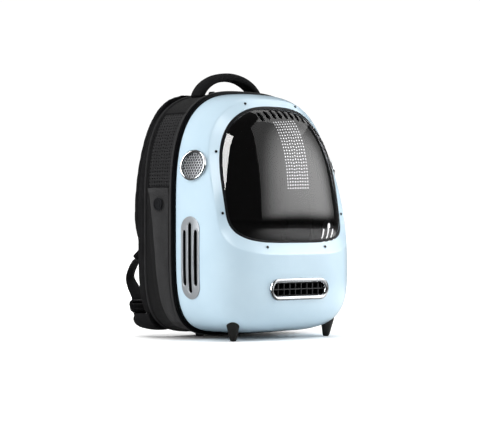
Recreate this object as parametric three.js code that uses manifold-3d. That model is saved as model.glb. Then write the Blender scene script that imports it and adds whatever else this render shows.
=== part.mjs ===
import * as THREE from "three";
import { mergeVertices } from "three/addons/utils/BufferGeometryUtils.js";
import Module from "manifold-3d";

// Pet carrier backpack in millimetres, Z up, front towards -Y, wearer's back towards +Y.
// In the layout Y = 0 is the rear edge of the moulded front and Z = 0 the floor.

const wasm = await Module();
wasm.setup();

const clearance = 0.3;
const around = 48;

// egg-shaped rear edge of the moulded front; the powers set how square its upper and lower halves are
const rim = { halfWidth: 162.5, top: 420, bottom: 10.5, widest: 212, topPower: 3, bottomPower: 5 };
// foremost point of the dome, and how each side of the outline closes towards it
const apex = { forward: 129, height: 110, topPower: 2.2, bottomPower: 3 };
const closing = { top: 2.78, bottom: 4.5, side: 3.8, widest: 1.6 };
const shellWall = 3;

// window opening and the crease where the band round it starts to sink, both seen from the front
const opening = { halfWidth: 132.5, top: 396, bottom: 163.5, widest: 232, topPower: 2.75, bottomPower: 4.1 };
const crease = { halfWidth: 147.5, top: 408, bottom: 145, widest: 222, topPower: 2.85, bottomPower: 4.3 };
// how far the window lies below the dome at its edge, how fast it rises, and how far its top stands out
const sunk = { edge: 8.5, sidePower: 7, topPower: 18, crown: 4 };
const lipStep = 1;
const windowWall = 2.5;
const windowCentre = { x: 0, z: 262 };
const gasket = { width: 3.6, lift: 0.5, depth: 5 };

const topSlots = { count: 8, pitch: 13.6, width: 5.4, tall: 13.6, height: 381.7, fall: 0.0024 };
const lowSlots = { count: 3, first: 62, pitch: 13, width: 4, tall: 17, height: 179 };
const slotReach = 200;

// screws in the band: angle round the window in degrees, and part of the way from crease to opening
const screw = { radius: 2.7, height: 1.5, lift: 0.7 };
const screwPlaces = [
  { angle: 71.4, part: 0.33 },
  { angle: 33.9, part: 0.7 },
  { angle: -6.5, part: 0.66 },
  { angle: -46.8, part: 0.58 },
];

// round vents and slotted plates on both sides of the shell
const roundVent = { forward: 35, height: 293, ring: 26.5, bore: 21, proud: 4.5, depth: 6 };
const grille = { thick: 2, sink: 1.2, hole: 5, pitch: 12.4, rows: 1 };
const slotPlate = { forward: 36, height: 139, width: 44, length: 138, proud: 1.6, depth: 4 };
const plateSlots = [
  { across: 0, width: 8, length: 119 },
  { across: -13.5, width: 8, length: 94 },
  { across: 13.5, width: 8, length: 94 },
];
const frontVent = { height: 86, width: 134, tall: 37, inWidth: 119, inTall: 21, proud: 4, depth: 6 };
const ventGrid = { columns: 6, rows: 2, bar: 2.4, thick: 2, sink: 4 };

// tapered feet that lean outwards a little and are cut off by the shell: radius and height pairs
const frontFoot = { x: 108, forward: 83, lean: 0.06 };
const frontFootProfile = [[0, 0], [4.6, 0], [6.8, 1.8], [8.2, 6], [12, 28], [13.6, 42], [0, 42]];
const rearFoot = { x: 54, back: 66, radius: 8.5, tip: 7 };

// black edge between shell and fabric: distance outside the rim outline, and distance behind the rim
const trimProfile = [
  { grow: -2.6, back: 0.3 },
  { grow: 3.6, back: 0.3 },
  { grow: 6.3, back: 6.6 },
  { grow: 6, back: 12.4 },
  { grow: -2.6, back: 12.4 },
];

const gusset = { front: 12.8, rear: 77.5, outside: 1, wall: 2.3 };
// the net and the panel below it lie between two angles of the outline, in degrees
const net = { from: 126, to: 164.2, front: 15, rear: 74, rows: 5, columns: 3, cord: 3.6, edge: 4, wall: 1.6 };
const pocket = { from: 165, to: 232.5, steps: 9, columns: 5, front: 15.5, edge: 3.9, belly: 4.5, wall: 2 };
const pocketRear = { top: 72, low: 50 };
const snap = { back: 36, height: 229, radius: 11, thick: 2.4 };

const piping = { back: 80.6, outside: 0.6, radius: 2.8, sides: 4 };
const backPanel = [
  { grow: -1.2, back: 83.8 },
  { grow: 1.6, back: 90 },
  { grow: -2.5, back: 102.5 },
  { grow: -22, back: 106 },
];

const handle = { back: 55, span: 71, foot: 404, rise: 49.5, wide: 30, thick: 15, steps: 7 };

// centre line of the left padded strap with its section
const strapRoute = [
  { x: -46, y: 95, z: 420.5, wide: 44, thick: 5 },
  { x: -52, y: 105, z: 417, wide: 47, thick: 6 },
  { x: -61, y: 114, z: 408, wide: 52, thick: 9 },
  { x: -72, y: 124, z: 390, wide: 56, thick: 12 },
  { x: -84, y: 134, z: 355, wide: 58, thick: 13 },
  { x: -94, y: 142, z: 305, wide: 58, thick: 13 },
  { x: -101, y: 144, z: 250, wide: 58, thick: 13 },
  { x: -108, y: 140, z: 200, wide: 54, thick: 13 },
  { x: -114, y: 131, z: 158, wide: 44, thick: 11 },
];
// flat webbing below it that turns from the wearer to the side, with the frames at its two ends
const webbing = { wide: 25, thick: 2.2 };
const webbingRoute = [
  { x: -122, y: 155, z: 132, turn: 20 },
  { x: -124, y: 163, z: 120, turn: 19 },
  { x: -126, y: 168, z: 102, turn: 17 },
  { x: -125.5, y: 159, z: 84, turn: -8 },
  { x: -124.5, y: 148.5, z: 66.5, turn: -25 },
];
const adjuster = { x: -119, y: 145, z: 145, wide: 32, tall: 27, thick: 6, lean: 0.85, turn: 20, bar: 4.5 };
const buckle = { x: -131, y: 139, z: 52, wide: 33, tall: 26, thick: 7, lean: -0.75, turn: -25, bar: 5 };
// fabric tongue behind the lower corner, between two angles of the outline
const wing = { from: 229.5, to: 243, steps: 8, front: 84, inside: 1.8, thick: 5.6 };
const wingRear = { upper: 108, middle: 140, lower: 88, round: 0.42 };
const zipSlider = { x: -58, back: 28, long: 13, wide: 8, tall: 5, lift: 1.6 };

const finish = (color, roughness, metalness = 0) =>
  new THREE.MeshStandardMaterial({ color, roughness, metalness });
const materials = {
  shell: finish(0xd0e5f2, 0.25),
  smoked: finish(0x232326, 0.08),
  rubber: finish(0x1c1c1d, 0.7),
  foot: finish(0x272725, 0.75),
  screwBlack: finish(0x141414, 0.45),
  bright: finish(0xc3c7cb, 0.2, 1),
  silver: finish(0xa7adb3, 0.4, 0.9),
  grid: finish(0x2a2c2f, 0.5),
  trim: finish(0x131416, 0.5),
  fabric: finish(0x343434, 0.9),
  net: finish(0x1a1a1b, 0.85),
  padding: finish(0x202021, 0.9),
  strap: finish(0x161617, 0.85),
  plastic: finish(0x121213, 0.35),
};

const radians = THREE.MathUtils.degToRad;
const mix = THREE.MathUtils.lerp;
const count = total => [...Array(total).keys()];
const turn = index => (index / around) * Math.PI * 2;

// an egg outline made larger all round
function grown(egg, grow) {
  return { ...egg, halfWidth: egg.halfWidth + grow, top: egg.top + grow, bottom: egg.bottom - grow };
}

// point of an egg outline in the direction of an angle from its widest height
function eggPoint(egg, angle) {
  const across = Math.cos(angle);
  const up = Math.sin(angle);
  const power = up >= 0 ? egg.topPower : egg.bottomPower;
  const half = up >= 0 ? egg.top - egg.widest : egg.widest - egg.bottom;
  const sum = (Math.abs(across) / egg.halfWidth) ** power + (Math.abs(up) / half) ** power;
  const radius = sum ** (-1 / power);
  return { x: radius * across, z: egg.widest + radius * up };
}

function insideEgg(egg, x, z) {
  const power = z >= egg.widest ? egg.topPower : egg.bottomPower;
  const half = z >= egg.widest ? egg.top - egg.widest : egg.widest - egg.bottom;
  return (Math.abs(x) / egg.halfWidth) ** power + (Math.abs(z - egg.widest) / half) ** power < 1;
}

// outline of the dome at a distance forward of the rim; shrink moves the surface inwards
function domeSection(forward, shrink = 0) {
  const ratio = Math.min(forward / (apex.forward - shrink), 1);
  const close = power => (1 - ratio ** power) ** (1 / power);
  return {
    halfWidth: (rim.halfWidth - shrink) * close(closing.side),
    top: apex.height + (rim.top - shrink - apex.height) * close(closing.top),
    bottom: apex.height - (apex.height - rim.bottom - shrink) * close(closing.bottom),
    widest: apex.height + (rim.widest - apex.height) * (1 - ratio) ** closing.widest,
    topPower: mix(rim.topPower, apex.topPower, ratio),
    bottomPower: mix(rim.bottomPower, apex.bottomPower, ratio),
  };
}

// point of the dome seen from the front at x, z
function onDome(x, z, shrink = 0) {
  let near = 0;
  let far = apex.forward - shrink;
  for (const step of count(40)) {
    const middle = (near + far) / 2;
    if (insideEgg(domeSection(middle, shrink), x, z)) near = middle;
    else far = middle;
  }
  return new THREE.Vector3(x, -near, z);
}

// point of the dome seen from the side, on the left for side -1
function onSide(forward, height, side) {
  const egg = domeSection(forward);
  const power = height >= egg.widest ? egg.topPower : egg.bottomPower;
  const half = height >= egg.widest ? egg.top - egg.widest : egg.widest - egg.bottom;
  const x = egg.halfWidth * (1 - (Math.abs(height - egg.widest) / half) ** power) ** (1 / power);
  return new THREE.Vector3(side * x, -forward, height);
}

// placement with its Z axis out of a surface and its Y axis as upright as that allows
function placement(point, outward) {
  const up = new THREE.Vector3(0, 0, 1);
  const zAxis = outward.clone().normalize();
  const yAxis = up.addScaledVector(zAxis, -up.dot(zAxis)).normalize();
  const xAxis = yAxis.clone().cross(zAxis);
  return new THREE.Matrix4().makeBasis(xAxis, yAxis, zAxis).setPosition(point);
}

function sidePlacement(forward, height, side) {
  const along = onSide(forward + 6, height, side).sub(onSide(forward - 6, height, side));
  const upward = onSide(forward, height + 6, side).sub(onSide(forward, height - 6, side));
  const outward = along.cross(upward).multiplyScalar(side);
  return placement(onSide(forward, height, side), outward.x * side > 0 ? outward : outward.negate());
}

// closed skin through rings of points; a looped skin joins the last ring to the first
function loft(rings, looped = false) {
  const size = rings[0].length;
  const points = rings.flat();
  const faces = [];
  const last = looped ? rings.length : rings.length - 1;
  for (const row of count(last)) {
    const next = (row + 1) % rings.length;
    for (const column of count(size)) {
      const beside = (column + 1) % size;
      const a = row * size + column;
      const b = row * size + beside;
      const c = next * size + beside;
      const d = next * size + column;
      faces.push(a, b, c, a, c, d);
    }
  }
  if (!looped) {
    for (const [row, flip] of [[0, true], [rings.length - 1, false]]) {
      const middle = rings[row].reduce((sum, point) => sum.add(point), new THREE.Vector3());
      points.push(middle.divideScalar(size));
      for (const column of count(size)) {
        const a = row * size + column;
        const b = row * size + (column + 1) % size;
        faces.push(...(flip ? [b, a, points.length - 1] : [a, b, points.length - 1]));
      }
    }
  }
  const geometry = new THREE.BufferGeometry().setFromPoints(points);
  geometry.setIndex(faces);
  return geometry;
}

// solid for joining and cutting, always with its faces outwards
function solid(geometry, matrix = new THREE.Matrix4()) {
  const bare = new THREE.BufferGeometry();
  bare.setAttribute("position", geometry.getAttribute("position").clone());
  if (geometry.index) bare.setIndex(geometry.index.clone());
  bare.applyMatrix4(matrix);
  const merged = mergeVertices(bare, 1e-4);
  const place = merged.getAttribute("position");
  const corner = index => new THREE.Vector3().fromBufferAttribute(place, index);
  let volume = 0;
  const triangles = [];
  for (let i = 0; i < merged.index.count; i += 3) {
    const [a, b, c] = [0, 1, 2].map(k => merged.index.getX(i + k));
    if (a === b || b === c || c === a) continue;
    volume += corner(a).dot(corner(b).cross(corner(c)));
    triangles.push([a, b, c]);
  }
  const facing = volume < 0 ? triangles.map(([a, b, c]) => [a, c, b]) : triangles;
  return new wasm.Manifold(new wasm.Mesh({
    numProp: 3,
    vertProperties: new Float32Array(place.array),
    triVerts: new Uint32Array(facing.flat()),
  }));
}

function joined(solids) {
  return solids.reduce((whole, one) => whole.add(one));
}

const layout = new THREE.Group();
layout.name = "layout";

function addPart(name, body, material) {
  const skin = body.getMesh();
  const geometry = new THREE.BufferGeometry();
  geometry.setAttribute("position", new THREE.BufferAttribute(skin.vertProperties, 3));
  geometry.setIndex(new THREE.BufferAttribute(skin.triVerts, 1));
  geometry.computeVertexNormals();
  const part = new THREE.Mesh(geometry, material);
  part.name = name;
  layout.add(part);
}

function mirrored(body) {
  return body.mirror([1, 0, 0]);
}

// the same piece on both sides, given as it is on the left
function addPair(name, body, material) {
  addPart(`${name}_left`, body, material);
  addPart(`${name}_right`, mirrored(body), material);
}

const at = (x, y, z) => new THREE.Matrix4().makeTranslation(x, y, z);
const box = (x, y, z, matrix) => solid(new THREE.BoxGeometry(x, y, z), matrix);

// solid of revolution about Z from radius and height pairs
function turned(profile, sides, matrix) {
  const points = profile.map(([radius, height]) => new THREE.Vector2(radius, height));
  return solid(new THREE.LatheGeometry(points, sides).rotateX(Math.PI / 2), matrix);
}

// long shape with round ends
function stadium(width, tall, shape = new THREE.Shape()) {
  const radius = Math.min(width, tall) / 2;
  const reachX = width / 2 - radius;
  const reachY = tall / 2 - radius;
  shape.absarc(reachX, reachY, radius, 0, Math.PI / 2);
  shape.absarc(-reachX, reachY, radius, Math.PI / 2, Math.PI);
  shape.absarc(-reachX, -reachY, radius, Math.PI, Math.PI * 1.5);
  shape.absarc(reachX, -reachY, radius, Math.PI * 1.5, Math.PI * 2);
  return shape;
}

// flat shape given thickness along its own Z from low to high
function slab(shape, low, high, matrix, segments = 4) {
  const geometry = new THREE.ExtrudeGeometry(shape, {
    depth: high - low, bevelEnabled: false, curveSegments: segments,
  });
  return solid(geometry.translate(0, 0, low), matrix);
}

// ring or part ring that follows the rim outline, with a profile for each angle
function followRim(angles, profileAt, looped) {
  const rings = angles.map((angle, index) => profileAt(index).map(({ grow, back }) => {
    const { x, z } = eggPoint(grown(rim, grow), angle);
    return new THREE.Vector3(x, back, z);
  }));
  return solid(loft(rings, looped));
}

const everyAngle = count(around).map(turn);
const spread = (from, to, steps) => count(steps + 1).map(i => mix(from, to, i / steps));
const rectangle = (low, high, front, rear) => [
  { grow: low, back: front },
  { grow: high, back: front },
  { grow: high, back: rear },
  { grow: low, back: rear },
];

// rings over the dome from the rim to the crease, evenly spaced along the surface
function shellRings(shrink, steps) {
  const samples = 90;
  const paths = everyAngle.map(angle => {
    const start = eggPoint(grown(rim, -shrink), angle);
    const end = eggPoint(crease, angle);
    return count(samples + 1).map(i => {
      const part = (i / samples) ** 3;
      const x = mix(start.x, end.x, part);
      const z = mix(start.z, end.z, part);
      return i === 0 ? new THREE.Vector3(x, 0, z) : onDome(x, z, shrink);
    });
  });
  return count(steps + 1).map(step => paths.map(path => alongPath(path, step / steps)));
}

function alongPath(path, part) {
  const lengths = [0];
  for (const i of count(path.length - 1)) lengths.push(lengths[i] + path[i].distanceTo(path[i + 1]));
  const wanted = part * lengths.at(-1);
  const after = Math.max(1, lengths.findIndex(length => length >= wanted - 1e-9));
  const piece = (wanted - lengths[after - 1]) / (lengths[after] - lengths[after - 1]);
  return path[after - 1].clone().lerp(path[after], piece);
}

// depth of the window below the dome, from its middle (part 0) to its edge (part 1)
function windowDrop(angle, part) {
  const up = Math.max(0, Math.sin(angle)) ** 2;
  const power = mix(sunk.sidePower, sunk.topPower, up);
  return sunk.edge * part ** power - sunk.crown * up * part ** 2;
}

// ring on an outline of the front view, at a depth measured from the window's edge
function ringOnDome(egg, deeper) {
  return everyAngle.map(angle => {
    const { x, z } = eggPoint(egg, angle);
    return onDome(x, z, windowDrop(angle, 1) + deeper);
  });
}

// moulded front with its window opening
const outerRings = shellRings(0, 7);
const innerRings = shellRings(shellWall, 6).reverse();
const lip = [ringOnDome(opening, -lipStep), ringOnDome(opening, shellWall - lipStep)];
let shell = solid(loft([...outerRings, ...lip, ...innerRings], true));

// window skin: rings shrinking towards the middle of the opening, outside then inside
const windowEdge = grown(opening, -gasket.width - 2 * clearance);

function windowRings(deeper, parts) {
  return parts.map(part => everyAngle.map(angle => {
    const { x, z } = eggPoint(windowEdge, angle);
    const depth = windowDrop(angle, part) + deeper;
    return onDome(mix(windowCentre.x, x, part), mix(windowCentre.z, z, part), depth);
  }));
}

const outsideSkin = windowRings(0, [0.1, 0.45, 0.75, 0.9, 1]);
const insideSkin = windowRings(windowWall, [1, 0.85, 0.5, 0.1]);
let pane = solid(loft([...outsideSkin, ...insideSkin]));

// upright slot through the window, cut straight back
function windowSlot(x, z, { width, tall }) {
  return box(width, slotReach, tall, at(x, -slotReach / 2, z));
}

const slotCuts = [];
for (const i of count(topSlots.count)) {
  const x = (i - (topSlots.count - 1) / 2) * topSlots.pitch;
  slotCuts.push(windowSlot(x, topSlots.height - topSlots.fall * x ** 2, topSlots));
}
for (const i of count(lowSlots.count)) {
  const x = lowSlots.first + i * lowSlots.pitch;
  slotCuts.push(windowSlot(x, lowSlots.height, lowSlots), windowSlot(-x, lowSlots.height, lowSlots));
}
pane = pane.subtract(joined(slotCuts));

const gasketOuter = grown(opening, -clearance);
const gasketInner = grown(opening, -clearance - gasket.width);
const gasketBody = solid(loft([
  ringOnDome(gasketOuter, -gasket.lift),
  ringOnDome(gasketInner, -gasket.lift),
  ringOnDome(gasketInner, gasket.depth - gasket.lift),
  ringOnDome(gasketOuter, gasket.depth - gasket.lift),
], true));

// vents and plates, with the shell cut to take them
const throughShell = 30;
const ventSides = 20;
const front = placement(new THREE.Vector3(0, -apex.forward, frontVent.height), new THREE.Vector3(0, -1, 0));
const ventCut = stadium(frontVent.width + 2 * clearance, frontVent.tall + 2 * clearance);
shell = shell.subtract(slab(ventCut, -throughShell, throughShell, front, 5));
for (const side of [-1, 1]) {
  const roundAt = sidePlacement(roundVent.forward, roundVent.height, side);
  const hole = roundVent.ring + 2 * clearance;
  shell = shell.subtract(turned([
    [0, -throughShell], [hole, -throughShell], [hole, throughShell], [0, throughShell],
  ], ventSides, roundAt));
  const plateAt = sidePlacement(slotPlate.forward, slotPlate.height, side);
  const plateCut = stadium(slotPlate.width + 2 * clearance, slotPlate.length + 2 * clearance);
  shell = shell.subtract(slab(plateCut, -throughShell, throughShell, plateAt, 5));
}

addPart("front_shell", shell, materials.shell);
addPart("window", pane, materials.smoked);
addPart("window_gasket", gasketBody, materials.rubber);

// point of the sloping band at an angle round the window
function onBand(angle, part) {
  const outer = eggPoint(crease, angle);
  const inner = eggPoint(opening, angle);
  const low = onDome(inner.x, inner.z, windowDrop(angle, 1) - lipStep);
  return onDome(outer.x, outer.z).lerp(low, part);
}

screwPlaces.forEach(({ angle, part }, index) => {
  const place = radians(angle);
  const along = onBand(place + 0.02, part).sub(onBand(place - 0.02, part));
  const inward = onBand(place, 1).sub(onBand(place, 0));
  const outward = along.cross(inward).normalize();
  const middle = onBand(place, part).addScaledVector(outward, screw.lift);
  const head = turned([
    [0, 0], [screw.radius, 0], [screw.radius * 0.8, screw.height], [0, screw.height],
  ], 6, placement(middle, outward));
  addPart(`window_screw_${index * 2 + 1}`, mirrored(head), materials.screwBlack);
  addPart(`window_screw_${index * 2 + 2}`, head, materials.screwBlack);
});

const roundLeft = sidePlacement(roundVent.forward, roundVent.height, -1);
const ringProfile = [
  [roundVent.bore, -roundVent.depth],
  [roundVent.ring, -roundVent.depth],
  [roundVent.ring, roundVent.proud - 1.5],
  [roundVent.ring - 2, roundVent.proud],
  [roundVent.bore, roundVent.proud - 2.5],
  [roundVent.bore, -roundVent.depth],
];
addPair("vent_ring", turned(ringProfile, ventSides, roundLeft), materials.bright);

const discRadius = roundVent.bore - clearance;
let disc = turned([
  [0, -grille.sink - grille.thick],
  [discRadius, -grille.sink - grille.thick],
  [discRadius, -grille.sink],
  [0, -grille.sink],
], ventSides);
const holes = [];
for (const row of spread(-grille.rows, grille.rows, grille.rows * 2)) {
  const inRow = grille.rows * 2 + 1 - Math.abs(row);
  for (const i of count(inRow)) {
    const x = (i - (inRow - 1) / 2) * grille.pitch;
    const y = row * grille.pitch * Math.sin(Math.PI / 3);
    const hole = new THREE.CylinderGeometry(grille.hole, grille.hole, throughShell, 6).rotateX(Math.PI / 2);
    holes.push(solid(hole.translate(x, y, 0)));
  }
}
disc = disc.subtract(joined(holes));
addPair("vent_grille", disc.transform(roundLeft.toArray()), materials.silver);

const plateLeft = sidePlacement(slotPlate.forward, slotPlate.height, -1);
const plateShape = stadium(slotPlate.width, slotPlate.length);
for (const { across, width, length } of plateSlots) {
  const shift = new THREE.Vector2(across, 0);
  const slot = stadium(width, length).getPoints(1).map(point => point.add(shift));
  plateShape.holes.push(new THREE.Path(slot));
}
addPair("slot_plate", slab(plateShape, -slotPlate.depth, slotPlate.proud, plateLeft, 4), materials.silver);

const bezelShape = stadium(frontVent.width, frontVent.tall);
bezelShape.holes.push(new THREE.Path(stadium(frontVent.inWidth, frontVent.inTall).getPoints(4)));
const bezel = slab(bezelShape, -frontVent.depth, frontVent.proud, front, 4);
addPart("front_vent_bezel", bezel, materials.bright);

const gridWidth = frontVent.inWidth - 2 * clearance;
const gridTall = frontVent.inTall - 2 * clearance;
const gridLow = -ventGrid.sink - ventGrid.thick;
let gridPlate = slab(stadium(gridWidth, gridTall), gridLow, -ventGrid.sink, undefined, 4);
const cellWide = gridWidth / ventGrid.columns;
const cellTall = gridTall / ventGrid.rows;
for (const column of count(ventGrid.columns)) {
  for (const row of count(ventGrid.rows)) {
    const atEnd = column === 0 || column === ventGrid.columns - 1;
    const trimmed = atEnd ? cellWide * 0.45 : 0;
    const x = (column - (ventGrid.columns - 1) / 2) * cellWide;
    const shift = Math.sign(-x) * trimmed / 2;
    const y = (row - (ventGrid.rows - 1) / 2) * cellTall;
    const place = at(x + shift, y, 0);
    const cell = box(cellWide - ventGrid.bar - trimmed, cellTall - ventGrid.bar, throughShell, place);
    gridPlate = gridPlate.subtract(cell);
  }
}
addPart("front_vent_grid", gridPlate.transform(front.toArray()), materials.grid);

// feet; the front pair is cut to the curve of the shell
function domeSolid(grow) {
  const stations = count(16).map(i => Math.sin((i / 16) * (Math.PI / 2)) ** 0.6);
  const rings = stations.map(part => everyAngle.map(angle => {
    const forward = part * (apex.forward + grow);
    const { x, z } = eggPoint(domeSection(forward, -grow), angle);
    return new THREE.Vector3(x, -forward, z);
  }));
  return solid(loft(rings));
}

const footLean = new THREE.Matrix4().set(
  1, 0, -frontFoot.lean, 0,
  0, 1, -frontFoot.lean, 0,
  0, 0, 1, 0,
  0, 0, 0, 1,
);
const frontFootAt = at(-frontFoot.x, -frontFoot.forward, 0).multiply(footLean);
const frontFootBody = turned(frontFootProfile, 12, frontFootAt);
addPair("foot_front", frontFootBody.subtract(domeSolid(1)), materials.foot);

const studTop = rim.bottom - gusset.outside - clearance;
const rearFootAt = at(-rearFoot.x, rearFoot.back, 0);
addPair("foot_rear", turned([
  [0, 0], [rearFoot.tip, 0], [rearFoot.radius, studTop], [0, studTop],
], 12, rearFootAt), materials.foot);

// edge trim and fabric wall
addPart("rim_trim", followRim(everyAngle, () => trimProfile, true), materials.trim);

const gussetProfile = rectangle(gusset.outside - gusset.wall, gusset.outside, gusset.front, gusset.rear);
let fabric = followRim(everyAngle, () => gussetProfile, true);
const netAngles = spread(radians(net.from), radians(net.to), net.rows);
const cutProfile = rectangle(-8, 8, net.front - clearance, net.rear + clearance);
const margin = radians(0.15);
const cutAngles = spread(radians(net.from) - margin, radians(net.to) + margin, net.rows);
const netCut = followRim(cutAngles, () => cutProfile);
fabric = fabric.subtract(netCut).subtract(mirrored(netCut));
addPart("gusset", fabric, materials.fabric);

// open net: a thin panel with its gaps cut through
const netHigh = gusset.outside - clearance;
let netPanel = followRim(netAngles, () => rectangle(netHigh - net.wall, netHigh, net.front, net.rear));
const gapDepth = (net.rear - net.front - 2 * net.edge + net.cord) / net.columns;
const gapTurn = radians(net.to - net.from) / net.rows;
const cordTurn = gapTurn * 0.12;
const gaps = [];
for (const from of netAngles.slice(0, net.rows)) {
  for (const column of count(net.columns)) {
    const start = net.front + net.edge + column * gapDepth;
    const profile = rectangle(-8, 8, start, start + gapDepth - net.cord);
    gaps.push(followRim([from + cordTurn, from + gapTurn - cordTurn], () => profile));
  }
}
netPanel = netPanel.subtract(joined(gaps));
addPair("side_mesh", netPanel, materials.net);

// soft panel below the net, fuller towards its middle and narrower towards the floor
function pocketOutside(down, across) {
  const fullness = Math.sin(Math.PI * mix(0.12, 0.95, down)) * Math.sin(Math.PI * across) ** 0.7;
  return pocket.edge + pocket.belly * fullness;
}

function pocketProfile(index) {
  const down = index / pocket.steps;
  const rear = mix(pocketRear.top, pocketRear.low, down ** 1.4);
  const outside = spread(0, 1, pocket.columns).map(across => ({
    grow: pocketOutside(down, across), back: mix(pocket.front, rear, across),
  }));
  const inside = outside.map(({ grow, back }) => ({ grow: grow - pocket.wall, back })).reverse();
  return [...outside, ...inside];
}

const pocketAngles = spread(radians(pocket.from), radians(pocket.to), pocket.steps);
addPair("side_pocket", followRim(pocketAngles, pocketProfile), materials.fabric);

const snapOut = rim.halfWidth + pocket.edge + pocket.belly + clearance;
const snapAt = placement(new THREE.Vector3(-snapOut, snap.back, snap.height), new THREE.Vector3(-1, 0, 0));
addPair("pocket_snap", turned([
  [0, 0], [snap.radius, 0], [snap.radius - 1.5, snap.thick], [0, snap.thick],
], 16, snapAt), materials.plastic);

// edge cord and padded back
const pipingProfile = count(piping.sides).map(i => {
  const angle = ((i + 0.5) / piping.sides) * Math.PI * 2;
  return {
    grow: piping.outside + piping.radius * Math.sin(angle),
    back: piping.back + piping.radius * Math.cos(angle),
  };
});
addPart("back_piping", followRim(everyAngle, () => pipingProfile, true), materials.trim);

// padded back, or the room it takes up with some space left round it
function panelBody(space) {
  const last = backPanel.length - 1;
  return solid(loft(backPanel.map(({ grow, back }, index) => everyAngle.map(angle => {
    const { x, z } = eggPoint(grown(rim, grow + space), angle);
    return new THREE.Vector3(x, back + (index >= last - 1 ? space : 0), z);
  }))));
}

addPart("back_panel", panelBody(0), materials.padding);

// soft strip along a route: at each station a rounded section, wide across and thin through,
// with the across direction turned about the upright
const sideways = new THREE.Vector3(1, 0, 0);
const upright = new THREE.Vector3(0, 0, 1);
function strip(stations, sides = 8) {
  const curve = new THREE.CatmullRomCurve3(stations.map(({ x, y, z }) => new THREE.Vector3(x, y, z)));
  const steps = (stations.length - 1) * 2;
  const rings = count(steps + 1).map(i => {
    const centre = curve.getPoint(i / steps);
    const tangent = curve.getTangent(i / steps);
    const low = stations[Math.floor(i / 2)];
    const high = stations[Math.ceil(i / 2)];
    const turn = radians((low.turn + high.turn) / 2);
    const across = sideways.clone().applyAxisAngle(upright, turn);
    const through = tangent.clone().cross(across).normalize();
    const wide = (low.wide + high.wide) / 4;
    const thick = (low.thick + high.thick) / 4;
    return count(sides).map(k => {
      const angle = ((k + 0.5) / sides) * Math.PI * 2;
      const round = value => Math.sign(value) * Math.abs(value) ** 0.55;
      return centre.clone()
        .addScaledVector(across, wide * round(Math.cos(angle)))
        .addScaledVector(through, thick * round(Math.sin(angle)));
    });
  });
  return solid(loft(rings));
}

const paddedRoute = strapRoute.map(place => ({ ...place, turn: 0 }));
addPair("shoulder_strap", strip(paddedRoute).subtract(panelBody(clearance)), materials.padding);
const flatRoute = webbingRoute.map(place => ({ ...place, ...webbing }));
addPair("strap_webbing", strip(flatRoute), materials.strap);

// carrying loop, cut where its ends are sewn to the fabric
const handleRoute = count(handle.steps + 1).map(i => {
  const angle = (i / handle.steps) * Math.PI;
  const x = -handle.span * Math.cos(angle);
  const z = handle.foot + handle.rise * Math.sin(angle);
  return { x, y: handle.back, z, wide: handle.wide, thick: handle.thick, turn: 90 };
});
const bodyPrism = solid(loft([gusset.front, gusset.rear].map(back => everyAngle.map(angle => {
  const { x, z } = eggPoint(grown(rim, gusset.outside + clearance), angle);
  return new THREE.Vector3(x, back, z);
}))));
addPart("top_handle", strip(handleRoute).subtract(bodyPrism), materials.strap);

// plastic frames with a bar across the middle
function frame({ x, y, z, wide, tall, thick, lean, turn, bar }) {
  const openingTall = (tall - 3 * bar) / 2;
  const shape = new THREE.Shape();
  const corner = bar;
  shape.moveTo(-wide / 2 + corner, -tall / 2);
  shape.lineTo(wide / 2 - corner, -tall / 2);
  shape.lineTo(wide / 2, -tall / 2 + corner);
  shape.lineTo(wide / 2, tall / 2 - corner);
  shape.lineTo(wide / 2 - corner, tall / 2);
  shape.lineTo(-wide / 2 + corner, tall / 2);
  shape.lineTo(-wide / 2, tall / 2 - corner);
  shape.lineTo(-wide / 2, -tall / 2 + corner);
  const swing = new THREE.Matrix4().makeRotationZ(radians(turn));
  const place = swing.multiply(new THREE.Matrix4().makeRotationX(Math.PI / 2 + lean)).setPosition(x, y, z);
  let body = slab(shape, -thick / 2, thick / 2);
  for (const side of [-1, 1]) {
    const shift = at(0, side * (openingTall + bar) / 2, 0);
    body = body.subtract(box(wide - 2 * bar, openingTall, thick * 2, shift));
  }
  return body.transform(place.toArray());
}

addPair("strap_adjuster", frame(adjuster), materials.plastic);
addPair("strap_buckle", frame(buckle), materials.plastic);

// tongues for the lower buckles
const wingAngles = spread(radians(wing.from), radians(wing.to), wing.steps);
addPair("strap_wing", followRim(wingAngles, index => {
  const reach = Math.max(0, Math.sin((index / wing.steps) * Math.PI)) ** wingRear.round;
  const rear = mix(mix(wingRear.upper, wingRear.lower, index / wing.steps), wingRear.middle, reach);
  return rectangle(wing.inside, wing.inside + wing.thick, wing.front, rear);
}), materials.fabric);

const sliderTop = eggPoint(grown(rim, gusset.outside + zipSlider.lift), Math.atan2(204, zipSlider.x));
const sliderAt = at(zipSlider.x, zipSlider.back, sliderTop.z + zipSlider.tall / 2);
addPart("zip_slider", box(zipSlider.wide, zipSlider.long, zipSlider.tall, sliderAt), materials.plastic);

// the finished group stands with the middle of its footprint at the origin
const bounds = new THREE.Box3().setFromObject(layout);
layout.position.y = -(bounds.min.y + bounds.max.y) / 2;

const carrier = new THREE.Group();
carrier.name = "pet_carrier_backpack";
carrier.add(layout);

export default carrier;
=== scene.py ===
import math

import bpy
import numpy as np
from mathutils import Matrix, Vector


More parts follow.
